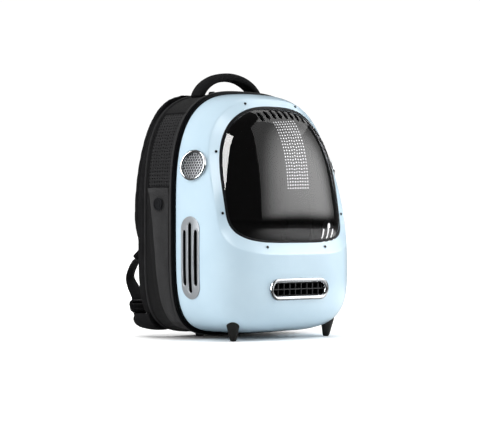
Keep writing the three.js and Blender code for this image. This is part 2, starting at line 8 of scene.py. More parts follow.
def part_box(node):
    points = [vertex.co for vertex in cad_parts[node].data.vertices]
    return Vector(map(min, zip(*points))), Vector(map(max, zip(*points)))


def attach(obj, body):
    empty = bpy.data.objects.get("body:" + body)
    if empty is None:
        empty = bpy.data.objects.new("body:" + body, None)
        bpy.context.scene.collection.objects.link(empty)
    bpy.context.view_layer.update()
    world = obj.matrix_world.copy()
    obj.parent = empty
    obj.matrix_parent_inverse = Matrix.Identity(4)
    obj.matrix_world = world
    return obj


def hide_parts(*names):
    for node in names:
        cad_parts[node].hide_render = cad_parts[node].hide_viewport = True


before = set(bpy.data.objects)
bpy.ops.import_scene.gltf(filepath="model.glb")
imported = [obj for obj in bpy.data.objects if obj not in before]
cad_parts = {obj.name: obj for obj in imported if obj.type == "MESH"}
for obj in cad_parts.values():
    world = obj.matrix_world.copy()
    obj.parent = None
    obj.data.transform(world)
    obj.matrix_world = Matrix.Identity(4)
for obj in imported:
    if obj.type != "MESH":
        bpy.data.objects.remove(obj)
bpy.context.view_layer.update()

print("frame loaded:", len(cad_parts), "nodes")

# layout millimetres: Y = 0 is the rear edge of the moulded front, the frame has its own middle
mm = 0.001
panelRear = 106.0
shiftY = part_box("back_panel")[1][1] - panelRear * mm
bodyMiddle = (0, shiftY, 0.21)

outline = {
    "rim": {"halfWidth": 162.5, "top": 420, "bottom": 10.5, "widest": 212,
            "topPower": 3, "bottomPower": 5},
    "crease": {"halfWidth": 147.5, "top": 408, "bottom": 145, "widest": 222,
               "topPower": 2.85, "bottomPower": 4.3},
    "opening": {"halfWidth": 132.5, "top": 396, "bottom": 163.5, "widest": 232,
                "topPower": 2.75, "bottomPower": 4.1},
    "apex": {"forward": 129, "height": 110, "topPower": 2.2, "bottomPower": 3},
    "closing": {"top": 2.78, "bottom": 4.5, "side": 3.8, "widest": 1.6},
    "sunk": {"edge": 8.5, "sidePower": 7, "topPower": 18, "crown": 4},
}


# camera and light

def mathNode(tree, operation, first, second=None):
    node = tree.nodes.new("ShaderNodeMath")
    node.operation = operation
    for socket, value in zip(node.inputs, (first, second)):
        if value is None:
            continue
        if isinstance(value, (int, float)):
            socket.default_value = value
        else:
            tree.links.new(value, socket)
    return node.outputs[0]


def mapRange(tree, source, values, kind="LINEAR"):  # values: from low, from high, to low, to high
    node = tree.nodes.new("ShaderNodeMapRange")
    node.interpolation_type = kind
    for socket, value in zip(node.inputs[1:5], values):
        socket.default_value = value
    tree.links.new(source, node.inputs[0])
    return node.outputs[0]


def distanceFrom(tree, source, location, scale=(1, 1, 1)):  # from a point, in the source's coordinates
    shift = tree.nodes.new("ShaderNodeMapping")
    shift.inputs["Location"].default_value = location
    shift.inputs["Scale"].default_value = scale
    far = tree.nodes.new("ShaderNodeVectorMath")
    far.operation = "LENGTH"
    tree.links.new(source, shift.inputs["Vector"])
    tree.links.new(shift.outputs[0], far.inputs[0])
    return far.outputs["Value"]


def lookAt(place, target):
    return (Vector(target) - Vector(place)).to_track_quat("-Z", "Y").to_euler()


camera = {"azimuth": 42, "away": 3.061, "height": 0.192, "lens": 132, "sensor": 36, "clip": 100,
          "shiftX": -8 / 480, "shiftY": 10.5 / 480}  # shifts in parts of the picture's width


def makeCamera():
    turn = math.radians(camera["azimuth"])
    place = (-camera["away"] * math.sin(turn), -camera["away"] * math.cos(turn) + shiftY, camera["height"])
    bpy.ops.object.camera_add(location=place, rotation=(math.pi / 2, 0, -turn))
    view = bpy.context.object
    view.name = "photoCamera"
    view.data.lens = camera["lens"]
    view.data.sensor_width = camera["sensor"]
    view.data.shift_x = camera["shiftX"]
    view.data.shift_y = camera["shiftY"]
    view.data.clip_end = camera["clip"]
    bpy.context.scene.camera = view


studio = {
    "room": 0.065,  # light level of the room, as reflections and shaded places see it
    "backdrop": {"straight": 1.05, "through": 4.8, "behind": 0.965},  # to the eye, through the pane, cosine
    "floor": {"seen": 1.18, "lights": 0.98, "rough": 0.9, "gloss": 0.1, "size": 60},
    "glow": {"x": 0.66, "y": -0.4, "near": 0.25, "far": 0.85, "least": 0.05},  # painted pool of light: floor colour brightest round one spot, seen in reflections
    "away": {"near": 0.9, "far": 1.9, "more": 1.5},  # the paper is lit more evenly far from the object
    "overhead": {"strength": 2.3, "angle": 85, "height": 3},
    "panels": [  # name, turn from the front, away, height, aim height, size, glow, use
        ("rightPanel", 47, 1.7, 1.4, 0.69, (2.2, 2.6), 0.78, "gloss"),
        ("leftPanel", -88, 2.0, 1.7, 1.7, (0.95, 3.3), 18.0, "gloss"),
        ("ridgePanel", -14, 2.0, 2.0, 0.3, (1.1, 1.5), 5.0, "gloss"),
        ("topPanel", 82, 1.7, 2.3, 0.2, (2.6, 2.0), 1.2, "gloss"),
        ("sideFill", -100, 2.4, 1.2, 0.25, (1.4, 1.8), 4.7, "soft"),
        ("frontFill", 62, 2.4, 0.6, 0.12, (2.0, 1.4), 5.9, "soft"),
        ("backFill", 176, 2.4, 1.5, 0.25, (1.8, 1.6), 3.0, "soft"),
    ],
    "linked": {  # panels that only some pieces reflect
        "leftPanel": ["windowPane", "ventRingLeft", "ventRingRight", "ventGrilleLeft", "ventGrilleRight",
                      "slotPlateLeft", "slotPlateRight", "frontVentBezel"],
        "ridgePanel": ["frontShell"],
    },
    "hotSpot": {"extra": 6.0, "across": 0.5, "up": 0.22, "reachX": 0.34, "reachY": 0.3, "fade": 1.6,
                "lowEdge": 0.12},
}


def backdropShader(tree):  # white for the eye, also through the pane, and a dim room for the rest
    back = studio["backdrop"]
    out = tree.nodes.new("ShaderNodeOutputWorld")
    rays = tree.nodes.new("ShaderNodeLightPath")
    shade = tree.nodes.new("ShaderNodeBackground")
    where = tree.nodes.new("ShaderNodeTexCoord")
    ahead = tree.nodes.new("ShaderNodeVectorMath")
    ahead.operation = "DOT_PRODUCT"
    turn = math.radians(camera["azimuth"])
    ahead.inputs[1].default_value = (math.sin(turn), math.cos(turn), 0)
    tree.links.new(where.outputs["Generated"], ahead.inputs[0])
    behind = mathNode(tree, "GREATER_THAN", ahead.outputs["Value"], back["behind"])
    direct = mathNode(tree, "LESS_THAN", rays.outputs["Diffuse Depth"], 0.5)
    clear = mathNode(tree, "MULTIPLY", rays.outputs["Is Transmission Ray"], direct)
    passed = mathNode(tree, "MULTIPLY", mathNode(tree, "MULTIPLY", clear, behind), back["through"])
    seen = mathNode(tree, "MULTIPLY", rays.outputs["Is Camera Ray"], back["straight"])
    level = mathNode(tree, "MAXIMUM", mathNode(tree, "MAXIMUM", seen, passed), studio["room"])
    shade.inputs["Color"].default_value = (1, 1, 1, 1)
    tree.links.new(level, shade.inputs["Strength"])
    tree.links.new(shade.outputs[0], out.inputs["Surface"])


def panelShader(lamp):  # the right panel is brighter round one spot and fades out at its lower edge
    h = studio["hotSpot"]
    lamp.use_nodes = True
    tree = lamp.node_tree
    where = tree.nodes.new("ShaderNodeTexCoord")
    parts = tree.nodes.new("ShaderNodeSeparateXYZ")
    tree.links.new(where.outputs["UV"], parts.inputs[0])
    far = distanceFrom(tree, where.outputs["UV"], (-h["across"] / h["reachX"], -h["up"] / h["reachY"], 0),
                       (1 / h["reachX"], 1 / h["reachY"], 0))
    spot = mapRange(tree, far, (0.0, h["fade"], 1 + h["extra"], 1.0), "SMOOTHERSTEP")
    edge = mapRange(tree, parts.outputs[1], (0.0, h["lowEdge"], 0.0, 1.0), "SMOOTHERSTEP")
    tree.links.new(mathNode(tree, "MULTIPLY", spot, edge), tree.nodes["Emission"].inputs["Strength"])


def floorPaper():
    paint = bpy.data.materials.new("floorPaper")
    paint.use_nodes = True
    tree = paint.node_tree
    skin = tree.nodes["Principled BSDF"]
    rays = tree.nodes.new("ShaderNodeLightPath")
    where = tree.nodes.new("ShaderNodeTexCoord")
    floor, glow, away = studio["floor"], studio["glow"], studio["away"]
    far = distanceFrom(tree, where.outputs["Object"], (-glow["x"], -glow["y"], 0))
    # painted pool of light: reflections see the floor's colour raised round one spot and near black away from
    # it
    lit = mapRange(tree, far, (glow["near"], glow["far"], floor["lights"], glow["least"]), "SMOOTHERSTEP")
    paper = mapRange(tree, far, (away["near"], away["far"], floor["seen"], floor["seen"] * away["more"]))
    soft = mathNode(tree, "MULTIPLY", rays.outputs["Is Diffuse Ray"], floor["lights"])
    seen = mathNode(tree, "MULTIPLY", rays.outputs["Is Camera Ray"], paper)
    level = mathNode(tree, "MAXIMUM", mathNode(tree, "MAXIMUM", soft, lit), seen)
    tree.links.new(level, skin.inputs["Base Color"])
    skin.inputs["Roughness"].default_value = floor["rough"]
    skin.inputs["Specular IOR Level"].default_value = floor["gloss"]
    return paint


def makeStudio():
    world = bpy.data.worlds.new("studioRoom")
    bpy.context.scene.world = world
    world.use_nodes = True
    world.node_tree.nodes.clear()
    backdropShader(world.node_tree)
    bpy.ops.object.light_add(type="SUN", location=(0, 0, studio["overhead"]["height"]))
    lamp = bpy.context.object
    lamp.name = "overhead"
    lamp.data.energy = studio["overhead"]["strength"]
    lamp.data.angle = math.radians(studio["overhead"]["angle"])
    lamp.visible_glossy = lamp.visible_transmission = False
    for name, turn, away, height, aim, size, glow, use in studio["panels"]:
        turn = math.radians(turn)
        place = (away * math.sin(turn), -away * math.cos(turn), height)
        bpy.ops.object.light_add(type="AREA", location=place, rotation=lookAt(place, (0, 0, aim)))
        lamp = bpy.context.object
        lamp.name = name
        lamp.data.shape = "RECTANGLE"
        lamp.data.size, lamp.data.size_y = size
        lamp.data.energy = glow * math.pi * size[0] * size[1]
        lamp.visible_transmission = False
        lamp.visible_glossy = use == "gloss"
        lamp.visible_diffuse = use == "soft"
    panelShader(bpy.data.objects["rightPanel"].data)
    bpy.ops.mesh.primitive_plane_add(size=studio["floor"]["size"], location=(0, 0, 0))
    ground = bpy.context.object
    ground.name = "studioFloor"
    ground.data.materials.append(floorPaper())
    scene = bpy.context.scene
    scene.view_settings.view_transform = "Standard"
    scene.view_settings.look = "None"


makeCamera()
makeStudio()
print("camera and studio ready")


# shared shader groups

def newGroup(name, inputs, outputs):
    group = bpy.data.node_groups.new(name, "ShaderNodeTree")
    group.interface.new_socket(name="Vector", in_out="INPUT", socket_type="NodeSocketVector")
    for socket, value in inputs.items():
        made = group.interface.new_socket(name=socket, in_out="INPUT", socket_type="NodeSocketFloat")
        made.default_value = value
    for socket in outputs:
        group.interface.new_socket(name=socket, in_out="OUTPUT", socket_type="NodeSocketFloat")
    entry = group.nodes.new("NodeGroupInput")
    leave = group.nodes.new("NodeGroupOutput")
    return group, entry, leave


def noiseNode(tree, vector, scale, detail, rough=0.5):
    node = tree.nodes.new("ShaderNodeTexNoise")
    node.inputs["Detail"].default_value = detail
    node.inputs["Roughness"].default_value = rough
    tree.links.new(vector, node.inputs["Vector"])
    if isinstance(scale, (int, float)):
        node.inputs["Scale"].default_value = scale
    else:
        tree.links.new(scale, node.inputs["Scale"])
    return node.outputs["Fac"]


def threadWave(tree, source):  # rises and falls once for each thread
    return mathNode(tree, "ABSOLUTE", mathNode(tree, "SINE", mathNode(tree, "MULTIPLY", source, math.pi)))


def weighted(tree, sources, shares):  # sum of the sources, each by its share
    parts = [mathNode(tree, "MULTIPLY", source, share) for source, share in zip(sources, shares)]
    total = parts[0]
    for part in parts[1:]:
        total = mathNode(tree, "ADD", total, part)
    return total


weave = {"threads": 900.0, "fuzz": 0.4, "toneShares": (0.35, 0.4, 0.55),  # noises: scale, detail, roughness
         "fibre": (2600.0, 2.0), "patch": (38.0, 4.0, 0.6), "heather": (430.0, 3.0, 0.7)}


def makeWeaveGroup():  # plain weave: two thread directions that pass over and under each other
    group, entry, leave = newGroup("plainWeave", {"Threads": weave["threads"], "Fuzz": weave["fuzz"]},
                                   ("Height", "Tone"))
    vector = entry.outputs["Vector"]
    grow = group.nodes.new("ShaderNodeVectorMath")
    grow.operation = "SCALE"
    group.links.new(vector, grow.inputs[0])
    group.links.new(entry.outputs["Threads"], grow.inputs["Scale"])
    parts = group.nodes.new("ShaderNodeSeparateXYZ")
    group.links.new(grow.outputs[0], parts.inputs[0])
    flat = group.nodes.new("ShaderNodeCombineXYZ")
    group.links.new(parts.outputs[0], flat.inputs[0])
    group.links.new(parts.outputs[1], flat.inputs[1])
    flat.inputs[2].default_value = 0.5
    over = group.nodes.new("ShaderNodeTexChecker")
    over.inputs["Scale"].default_value = 1.0
    group.links.new(flat.outputs[0], over.inputs["Vector"])
    swap = group.nodes.new("ShaderNodeMix")
    group.links.new(over.outputs["Fac"], swap.inputs[0])
    group.links.new(threadWave(group, parts.outputs[0]), swap.inputs[2])
    group.links.new(threadWave(group, parts.outputs[1]), swap.inputs[3])
    fuzz = mathNode(group, "MULTIPLY", noiseNode(group, vector, *weave["fibre"]), entry.outputs["Fuzz"])
    height = mathNode(group, "ADD", swap.outputs[0], fuzz)
    patch = noiseNode(group, vector, *weave["patch"])
    fleck = noiseNode(group, vector, *weave["heather"])
    group.links.new(height, leave.inputs["Height"])
    group.links.new(weighted(group, (height, patch, fleck), weave["toneShares"]), leave.inputs["Tone"])
    return group


grain = {"grain": 900.0, "cloud": 14.0, "stretch": (1.0, 1.0, 9.0), "turn": (0.3, 0.5, 0.2),
         "scratch": (160.0, 6.0, 0.75), "thin": 6.0}


def makeGrainGroup():  # moulded or painted skin: fine grain, handling marks and a cloud of dust
    group, entry, leave = newGroup("mouldedGrain", {"Grain": grain["grain"], "Cloud": grain["cloud"]},
                                   ("Height", "Cloud", "Marks"))
    vector = entry.outputs["Vector"]
    stretch = group.nodes.new("ShaderNodeMapping")
    stretch.inputs["Scale"].default_value = grain["stretch"]
    stretch.inputs["Rotation"].default_value = grain["turn"]
    group.links.new(vector, stretch.inputs["Vector"])
    scratch = noiseNode(group, stretch.outputs[0], *grain["scratch"])
    marks = mathNode(group, "SMOOTH_MIN", mathNode(group, "POWER", scratch, grain["thin"]), 1.0)
    group.links.new(noiseNode(group, vector, entry.outputs["Grain"], 3.0), leave.inputs["Height"])
    group.links.new(noiseNode(group, vector, entry.outputs["Cloud"], 5.0, 0.55), leave.inputs["Cloud"])
    group.links.new(marks, leave.inputs["Marks"])
    return group


ribs = {"ribs": 620.0, "threads": 420.0, "heightShares": (0.7, 0.5), "toneShares": (0.5, 0.5),
        "fibre": (1900.0, 2.0)}


def makeRibGroup():  # ribs across a woven band, with the long threads between them
    group, entry, leave = newGroup("bandRibs", {"Ribs": ribs["ribs"], "Threads": ribs["threads"]},
                                   ("Height", "Tone"))
    parts = group.nodes.new("ShaderNodeSeparateXYZ")
    group.links.new(entry.outputs["Vector"], parts.inputs[0])
    rib = threadWave(group, mathNode(group, "MULTIPLY", parts.outputs[0], entry.outputs["Ribs"]))
    long = threadWave(group, mathNode(group, "MULTIPLY", parts.outputs[1], entry.outputs["Threads"]))
    height = weighted(group, (rib, long), ribs["heightShares"])
    fibre = noiseNode(group, entry.outputs["Vector"], *ribs["fibre"])
    group.links.new(height, leave.inputs["Height"])
    group.links.new(weighted(group, (height, fibre), ribs["toneShares"]), leave.inputs["Tone"])
    return group


shaderGroups = {"weave": makeWeaveGroup(), "grain": makeGrainGroup(), "ribs": makeRibGroup()}


# finishes

def linear(colour):
    parts = [value / 255 for value in colour]
    return tuple(c / 12.92 if c <= 0.04045 else ((c + 0.055) / 1.055) ** 2.4 for c in parts)


def newFinish(name):
    finish = bpy.data.materials.new(name)
    finish.use_nodes = True
    tree = finish.node_tree
    return finish, tree, tree.nodes["Principled BSDF"]


def placeGroup(tree, kind, coords, **values):
    group = tree.nodes.new("ShaderNodeGroup")
    group.node_tree = shaderGroups[kind]
    where = tree.nodes.new("ShaderNodeTexCoord")
    tree.links.new(where.outputs[coords], group.inputs["Vector"])
    for key, value in values.items():
        group.inputs[key].default_value = value
    return group.outputs


def setSockets(skin, values):
    for name, value in values.items():
        skin.inputs[name].default_value = value


# parts of the pattern's range that colour and roughen, and the height of its relief in metres
skins = {
    "moulded": {"colour": (0.3, 0.7), "rough": (0.0, 0.25), "relief": 0.0002},
    "woven": {"colour": (0.25, 1.1), "rough": (0.2, 1.0), "relief": 0.0004},
    "band": {"colour": (0.2, 0.9), "rough": (0.2, 1.0), "relief": 0.0005},
    "pane": {"colour": (0.2, 0.8), "rough": (0.0, 0.3)},
}


def paintSkin(tree, skin, kind, tone, marks, dark, light, rough):
    ramp = tree.nodes.new("ShaderNodeValToRGB")
    for element, position, colour in zip(ramp.color_ramp.elements, skins[kind]["colour"], (dark, light)):
        element.position = position
        element.color = (*colour, 1)
    tree.links.new(tone, ramp.inputs[0])
    tree.links.new(ramp.outputs[0], skin.inputs["Base Color"])
    tree.links.new(mapRange(tree, marks, (*skins[kind]["rough"], *rough)), skin.inputs["Roughness"])


def raiseSkin(tree, skin, kind, height, strength):
    bump = tree.nodes.new("ShaderNodeBump")
    bump.inputs["Strength"].default_value = strength
    bump.inputs["Distance"].default_value = skins[kind]["relief"]
    tree.links.new(height, bump.inputs["Height"])
    tree.links.new(bump.outputs[0], skin.inputs["Normal"])


def mouldedFinish(name, dark, light, rough, grain=900.0, bump=0.1, metal=0.0, coat=0.0, gloss=0.5,
                  coatRough=0.06):
    finish, tree, skin = newFinish(name)
    group = placeGroup(tree, "grain", "Object", Grain=grain)
    paintSkin(tree, skin, "moulded", group["Cloud"], group["Marks"], linear(dark), linear(light), rough)
    raiseSkin(tree, skin, "moulded", group["Height"], bump)
    setSockets(skin, {"Metallic": metal, "Coat Weight": coat, "Coat Roughness": coatRough,
                      "Specular IOR Level": gloss})
    return finish


def wovenFinish(name, dark, light, rough, threads=900.0, bump=0.5, coords="UV", sheen=0.05, gloss=0.12):
    finish, tree, skin = newFinish(name)
    group = placeGroup(tree, "weave", coords, Threads=threads)
    paintSkin(tree, skin, "woven", group["Tone"], group["Tone"], linear(dark), linear(light), rough)
    raiseSkin(tree, skin, "woven", group["Height"], bump)
    setSockets(skin, {"Sheen Weight": sheen, "Sheen Roughness": 0.5, "Specular IOR Level": gloss})
    return finish


def bandFinish(name, dark, light, rough, bump, sheen, gloss):
    finish, tree, skin = newFinish(name)
    group = placeGroup(tree, "ribs", "UV")
    paintSkin(tree, skin, "band", group["Tone"], group["Tone"], linear(dark), linear(light), rough)
    raiseSkin(tree, skin, "band", group["Height"], bump)
    setSockets(skin, {"Sheen Weight": sheen, "Specular IOR Level": gloss})
    return finish


def smokedFinish(name, dark, light, rough):
    finish, tree, skin = newFinish(name)
    group = placeGroup(tree, "grain", "Object", Grain=700.0, Cloud=6.0)
    paintSkin(tree, skin, "pane", group["Cloud"], group["Marks"], dark, light, rough)
    setSockets(skin, {"Transmission Weight": 1.0, "IOR": 1.49})
    return finish


# name, darkest and lightest colour, least and most roughness, then grain or threads and bump
finishes = {
    "shell": mouldedFinish("paleBlueGloss", (196, 221, 236), (203, 227, 241), (0.3, 0.42), 420.0, 0.03,
                           coat=0.9, gloss=0.3, coatRough=0.17),
    "pane": smokedFinish("smokedPane", (0.3, 0.3, 0.31), (0.35, 0.35, 0.36), (0.01, 0.025)),
    # painted shade: a dark finish for inner faces and hollows that are in shade
    "paintedShade": mouldedFinish("innerLining", (20, 21, 23), (34, 35, 37), (0.6, 0.85), 800.0, 0.3, gloss=0.1),
    "gasket": mouldedFinish("gasketRubber", (16, 17, 19), (30, 31, 34), (0.42, 0.6), 1300.0, 0.15, gloss=0.2),
    # painted light: white glowing finish for the slot walls that face the camera
    "paintedGlowEdge": mouldedFinish("milledEdge", (214, 216, 219), (232, 234, 236), (0.5, 0.7), 1500.0, 0.2),
    "screw": mouldedFinish("blackScrew", (20, 22, 26), (44, 46, 50), (0.3, 0.5), 1800.0, 0.1, metal=0.7),
    "bright": mouldedFinish("brightPlating", (192, 195, 198), (214, 216, 218), (0.15, 0.26), 700.0, 0.02,
                            metal=1.0),
    "silver": mouldedFinish("satinSilver", (146, 151, 156), (168, 172, 176), (0.34, 0.5), 2400.0, 0.25,
                            metal=0.35),
    "grille": mouldedFinish("grilleMetal", (134, 137, 140), (156, 158, 161), (0.4, 0.55), 2000.0, 0.1,
                            metal=0.35),
    "grid": mouldedFinish("gridBlack", (24, 25, 27), (40, 41, 44), (0.45, 0.6), 1500.0, 0.2),
    "foot": mouldedFinish("footRubber", (31, 31, 30), (49, 49, 47), (0.55, 0.8), 1100.0, 0.3, gloss=0.3),
    "trim": mouldedFinish("edgeTrim", (5, 6, 8), (12, 13, 15), (0.4, 0.6), 900.0, 0.1, gloss=0.06),
    "grey": wovenFinish("greyCloth", (14, 14, 14), (64, 64, 65), (0.75, 0.95)),
    # dark tape along edges, also used as painted shade where the wall and pocket turn away from the light
    "tapeAndShade": wovenFinish("edgeTape", (12, 12, 12), (30, 30, 31), (0.75, 0.95)),
    "net": wovenFinish("netCord", (20, 20, 21), (48, 48, 49), (0.6, 0.85), 1400.0, 0.4, "Object"),
    "pad": wovenFinish("padCloth", (10, 10, 11), (36, 36, 37), (0.7, 0.92), 800.0, 0.55, "Object",
                       sheen=0.0, gloss=0.04),
    "band": bandFinish("strapBand", (14, 14, 15), (34, 34, 35), (0.5, 0.75), 0.6, sheen=0.04, gloss=0.2),
    "buckle": mouldedFinish("buckleBlack", (12, 12, 13), (24, 24, 26), (0.22, 0.42), 1000.0, 0.08),
    "thread": wovenFinish("sewingThread", (30, 30, 31), (58, 58, 60), (0.6, 0.8), 3000.0, 0.3, "Object"),
}
paintedGlowSkin = finishes["paintedGlowEdge"].node_tree.nodes["Principled BSDF"]  # painted light: this white finish glows, standing in for light seen through the corner slots
setSockets(paintedGlowSkin, {"Emission Color": (1, 1, 1, 1), "Emission Strength": 1.0})
print("finishes ready:", len(finishes))


# modelling helpers

def deselectAll():
    if bpy.context.object and bpy.context.object.mode != "OBJECT":
        bpy.ops.object.mode_set(mode="OBJECT")
    bpy.ops.object.select_all(action="DESELECT")


def pickOnly(piece):
    deselectAll()
    piece.select_set(True)
    bpy.context.view_layer.objects.active = piece


def applyPlace():  # the active object's place and size go into its mesh
    bpy.ops.object.transform_apply(location=True, rotation=True, scale=True)
    return bpy.context.object


def addModifier(piece, kind, **settings):
    pickOnly(piece)
    bpy.ops.object.modifier_add(type=kind)
    modifier = piece.modifiers[-1]
    for key, value in settings.items():
        setattr(modifier, key, value)
    bpy.ops.object.modifier_apply(modifier=modifier.name)


def subdivide(piece, levels):
    addModifier(piece, "SUBSURF", levels=levels, render_levels=levels)


def thicken(piece, wall):  # grows inwards from the faces
    addModifier(piece, "SOLIDIFY", thickness=wall * mm, offset=-1, use_even_offset=True)


def roundEdges(piece, width, segments=3, angle=30):
    addModifier(piece, "BEVEL", width=width * mm, segments=segments, limit_method="ANGLE",
                angle_limit=math.radians(angle), harden_normals=False)


def getPoints(piece):
    flat = np.empty(len(piece.data.vertices) * 3)
    piece.data.vertices.foreach_get("co", flat)
    return flat.reshape(-1, 3)


def setPoints(piece, points):
    piece.data.vertices.foreach_set("co", np.asarray(points, float).ravel())
    piece.data.update()


def toFrame(x, y, z):
    x, y, z = np.broadcast_arrays(np.asarray(x, float), np.asarray(y, float), np.asarray(z, float))
    return np.stack([x * mm, y * mm + shiftY, z * mm], axis=-1)


mergeGap = 2e-6  # metres: points nearer than this become one


def tidyMesh(piece, recalculate=True):
    pickOnly(piece)
    bpy.ops.object.mode_set(mode="EDIT")
    bpy.ops.mesh.select_all(action="SELECT")
    bpy.ops.mesh.remove_doubles(threshold=mergeGap)
    bpy.ops.mesh.dissolve_degenerate(threshold=mergeGap / 2)
    if recalculate:
        bpy.ops.mesh.select_all(action="SELECT")
        bpy.ops.mesh.normals_make_consistent(inside=False)
    bpy.ops.object.mode_set(mode="OBJECT")


def faceAwayFrom(piece, middle):  # an open skin gets its faces outwards
    normals = np.array([f.normal[:] for f in piece.data.polygons])
    centres = np.array([f.center[:] for f in piece.data.polygons])
    if np.sum(np.einsum("ij,ij->i", normals, centres - np.asarray(middle))) < 0:
        pickOnly(piece)
        bpy.ops.object.mode_set(mode="EDIT")
        bpy.ops.mesh.select_all(action="SELECT")
        bpy.ops.mesh.flip_normals()
        bpy.ops.object.mode_set(mode="OBJECT")


def capHoles(piece):
    pickOnly(piece)
    bpy.ops.object.mode_set(mode="EDIT")
    bpy.ops.mesh.select_all(action="SELECT")
    bpy.ops.mesh.fill_holes(sides=0)
    bpy.ops.mesh.normals_make_consistent(inside=False)
    bpy.ops.object.mode_set(mode="OBJECT")


def wrapGrid(name, columns, rows, place, size=(1, 1)):  # a grid laid over a surface, its UV in metres
    deselectAll()
    bpy.ops.mesh.primitive_grid_add(x_subdivisions=columns, y_subdivisions=rows, size=2, calc_uvs=True)
    piece = bpy.context.object
    piece.name = piece.data.name = name
    flat = getPoints(piece)
    setPoints(piece, place((flat[:, 0] + 1) / 2, (flat[:, 1] + 1) / 2))
    layer = piece.data.uv_layers.active.data
    spots = np.empty(len(layer) * 2)
    layer.foreach_get("uv", spots)
    layer.foreach_set("uv", (spots.reshape(-1, 2) * np.asarray(size)).ravel())
    tidyMesh(piece)
    return piece


def openGrid(name, columns, rows, wide, tall, inset):  # a flat grid of bars, its cells opened
    deselectAll()
    bpy.ops.mesh.primitive_grid_add(x_subdivisions=columns, y_subdivisions=rows, size=1)
    bars = bpy.context.object
    bars.name = bars.data.name = name
    bars.scale = (wide, tall, 1)
    applyPlace()
    bpy.ops.object.mode_set(mode="EDIT")
    bpy.ops.mesh.select_mode(type="FACE")
    bpy.ops.mesh.select_all(action="SELECT")
    bpy.ops.mesh.inset(thickness=inset, use_individual=True, use_boundary=True)
    bpy.ops.mesh.delete(type="FACE")
    bpy.ops.object.mode_set(mode="OBJECT")
    return bars


def pickFaces(piece, test):  # leaves the piece in edit mode with the faces selected that pass the test
    pickOnly(piece)
    bpy.ops.object.mode_set(mode="EDIT")
    bpy.ops.mesh.select_mode(type="FACE")
    bpy.ops.mesh.select_all(action="DESELECT")
    bpy.ops.object.mode_set(mode="OBJECT")
    for face in piece.data.polygons:
        face.select = bool(test(face))
    bpy.ops.object.mode_set(mode="EDIT")


def joinPieces(name, pieces):
    deselectAll()
    for piece in pieces:
        piece.select_set(True)
    bpy.context.view_layer.objects.active = pieces[0]
    if len(pieces) > 1:
        bpy.ops.object.join()
    whole = bpy.context.view_layer.objects.active
    whole.name = whole.data.name = name
    return whole


def copyPiece(piece, name, matrix):
    twin = piece.copy()
    twin.data = piece.data.copy()
    bpy.context.scene.collection.objects.link(twin)
    twin.name = twin.data.name = name
    twin.data.transform(matrix)
    if matrix.determinant() < 0:
        twin.data.flip_normals()
    return twin


def dropPiece(piece):
    bpy.data.objects.remove(piece, do_unlink=True)


def cutAway(piece, cutter, operation="DIFFERENCE"):
    addModifier(piece, "BOOLEAN", object=cutter, operation=operation, solver="EXACT")
    dropPiece(cutter)


def finishPiece(piece, finish, slot, *nodes, smooth=35):
    pickOnly(piece)
    applyPlace()
    bpy.ops.object.shade_smooth_by_angle(angle=math.radians(smooth))
    piece.data.materials.clear()
    piece.data.materials.append(finishes[finish])
    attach(piece, "root")
    if nodes:
        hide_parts(*nodes)
    return piece


def refinish(piece, finish, test):  # another finish on the faces that pass the test
    piece.data.materials.append(finishes[finish])
    index = len(piece.data.materials) - 1
    for face in piece.data.polygons:
        if test(face):
            face.material_index = index


mirrorX = Matrix.Scale(-1, 4, (1, 0, 0))


def finishPair(piece, base, finish, slot, node=None, smooth=35):  # the left piece and its mirrored twin
    twin = copyPiece(piece, base + "Right", mirrorX)
    piece.name = piece.data.name = base + "Left"
    left = finishPiece(piece, finish, slot, *([node + "_left"] if node else []), smooth=smooth)
    right = finishPiece(twin, finish, slot, *([node + "_right"] if node else []), smooth=smooth)
    return left, right


# outline and dome, as in the solids

def grown(egg, grow):
    return {**egg, "halfWidth": egg["halfWidth"] + grow, "top": egg["top"] + grow,
            "bottom": egg["bottom"] - grow}


def eggHalf(egg, upper):  # power and height of the upper or the lower half
    power = np.where(upper, egg["topPower"], egg["bottomPower"])
    return power, np.where(upper, egg["top"] - egg["widest"], egg["widest"] - egg["bottom"])


def eggPoint(egg, angle):
    across, up = np.cos(angle), np.sin(angle)
    power, half = eggHalf(egg, up >= 0)
    radius = ((np.abs(across) / egg["halfWidth"]) ** power + (np.abs(up) / half) ** power) ** (-1 / power)
    return radius * across, egg["widest"] + radius * up


def domeSection(forward, shrink):
    rim, apex, closing = outline["rim"], outline["apex"], outline["closing"]
    ratio = np.clip(forward / (apex["forward"] - shrink), 0, 1)

    def close(power):
        return (1 - ratio ** power) ** (1 / power)

    return {
        "halfWidth": np.maximum((rim["halfWidth"] - shrink) * close(closing["side"]), 1e-6),
        "top": apex["height"] + (rim["top"] - shrink - apex["height"]) * close(closing["top"]),
        "bottom": apex["height"] - (apex["height"] - rim["bottom"] - shrink) * close(closing["bottom"]),
        "widest": apex["height"] + (rim["widest"] - apex["height"]) * (1 - ratio) ** closing["widest"],
        "topPower": rim["topPower"] + (apex["topPower"] - rim["topPower"]) * ratio,
        "bottomPower": rim["bottomPower"] + (apex["bottomPower"] - rim["bottomPower"]) * ratio,
    }


def insideEgg(egg, x, z):
    power, half = eggHalf(egg, z >= egg["widest"])
    half = np.maximum(half, 1e-6)
    return (np.abs(x) / egg["halfWidth"]) ** power + (np.abs(z - egg["widest"]) / half) ** power < 1


def onDome(x, z, shrink=0.0):  # how far forward the dome is at x, z, found by halving
    x, z, shrink = np.broadcast_arrays(np.asarray(x, float), np.asarray(z, float), np.asarray(shrink, float))
    near = np.zeros_like(x)
    far = outline["apex"]["forward"] - shrink
    for step in range(34):
        middle = (near + far) / 2
        inside = insideEgg(domeSection(middle, shrink), x, z)
        near = np.where(inside, middle, near)
        far = np.where(inside, far, middle)
    return near


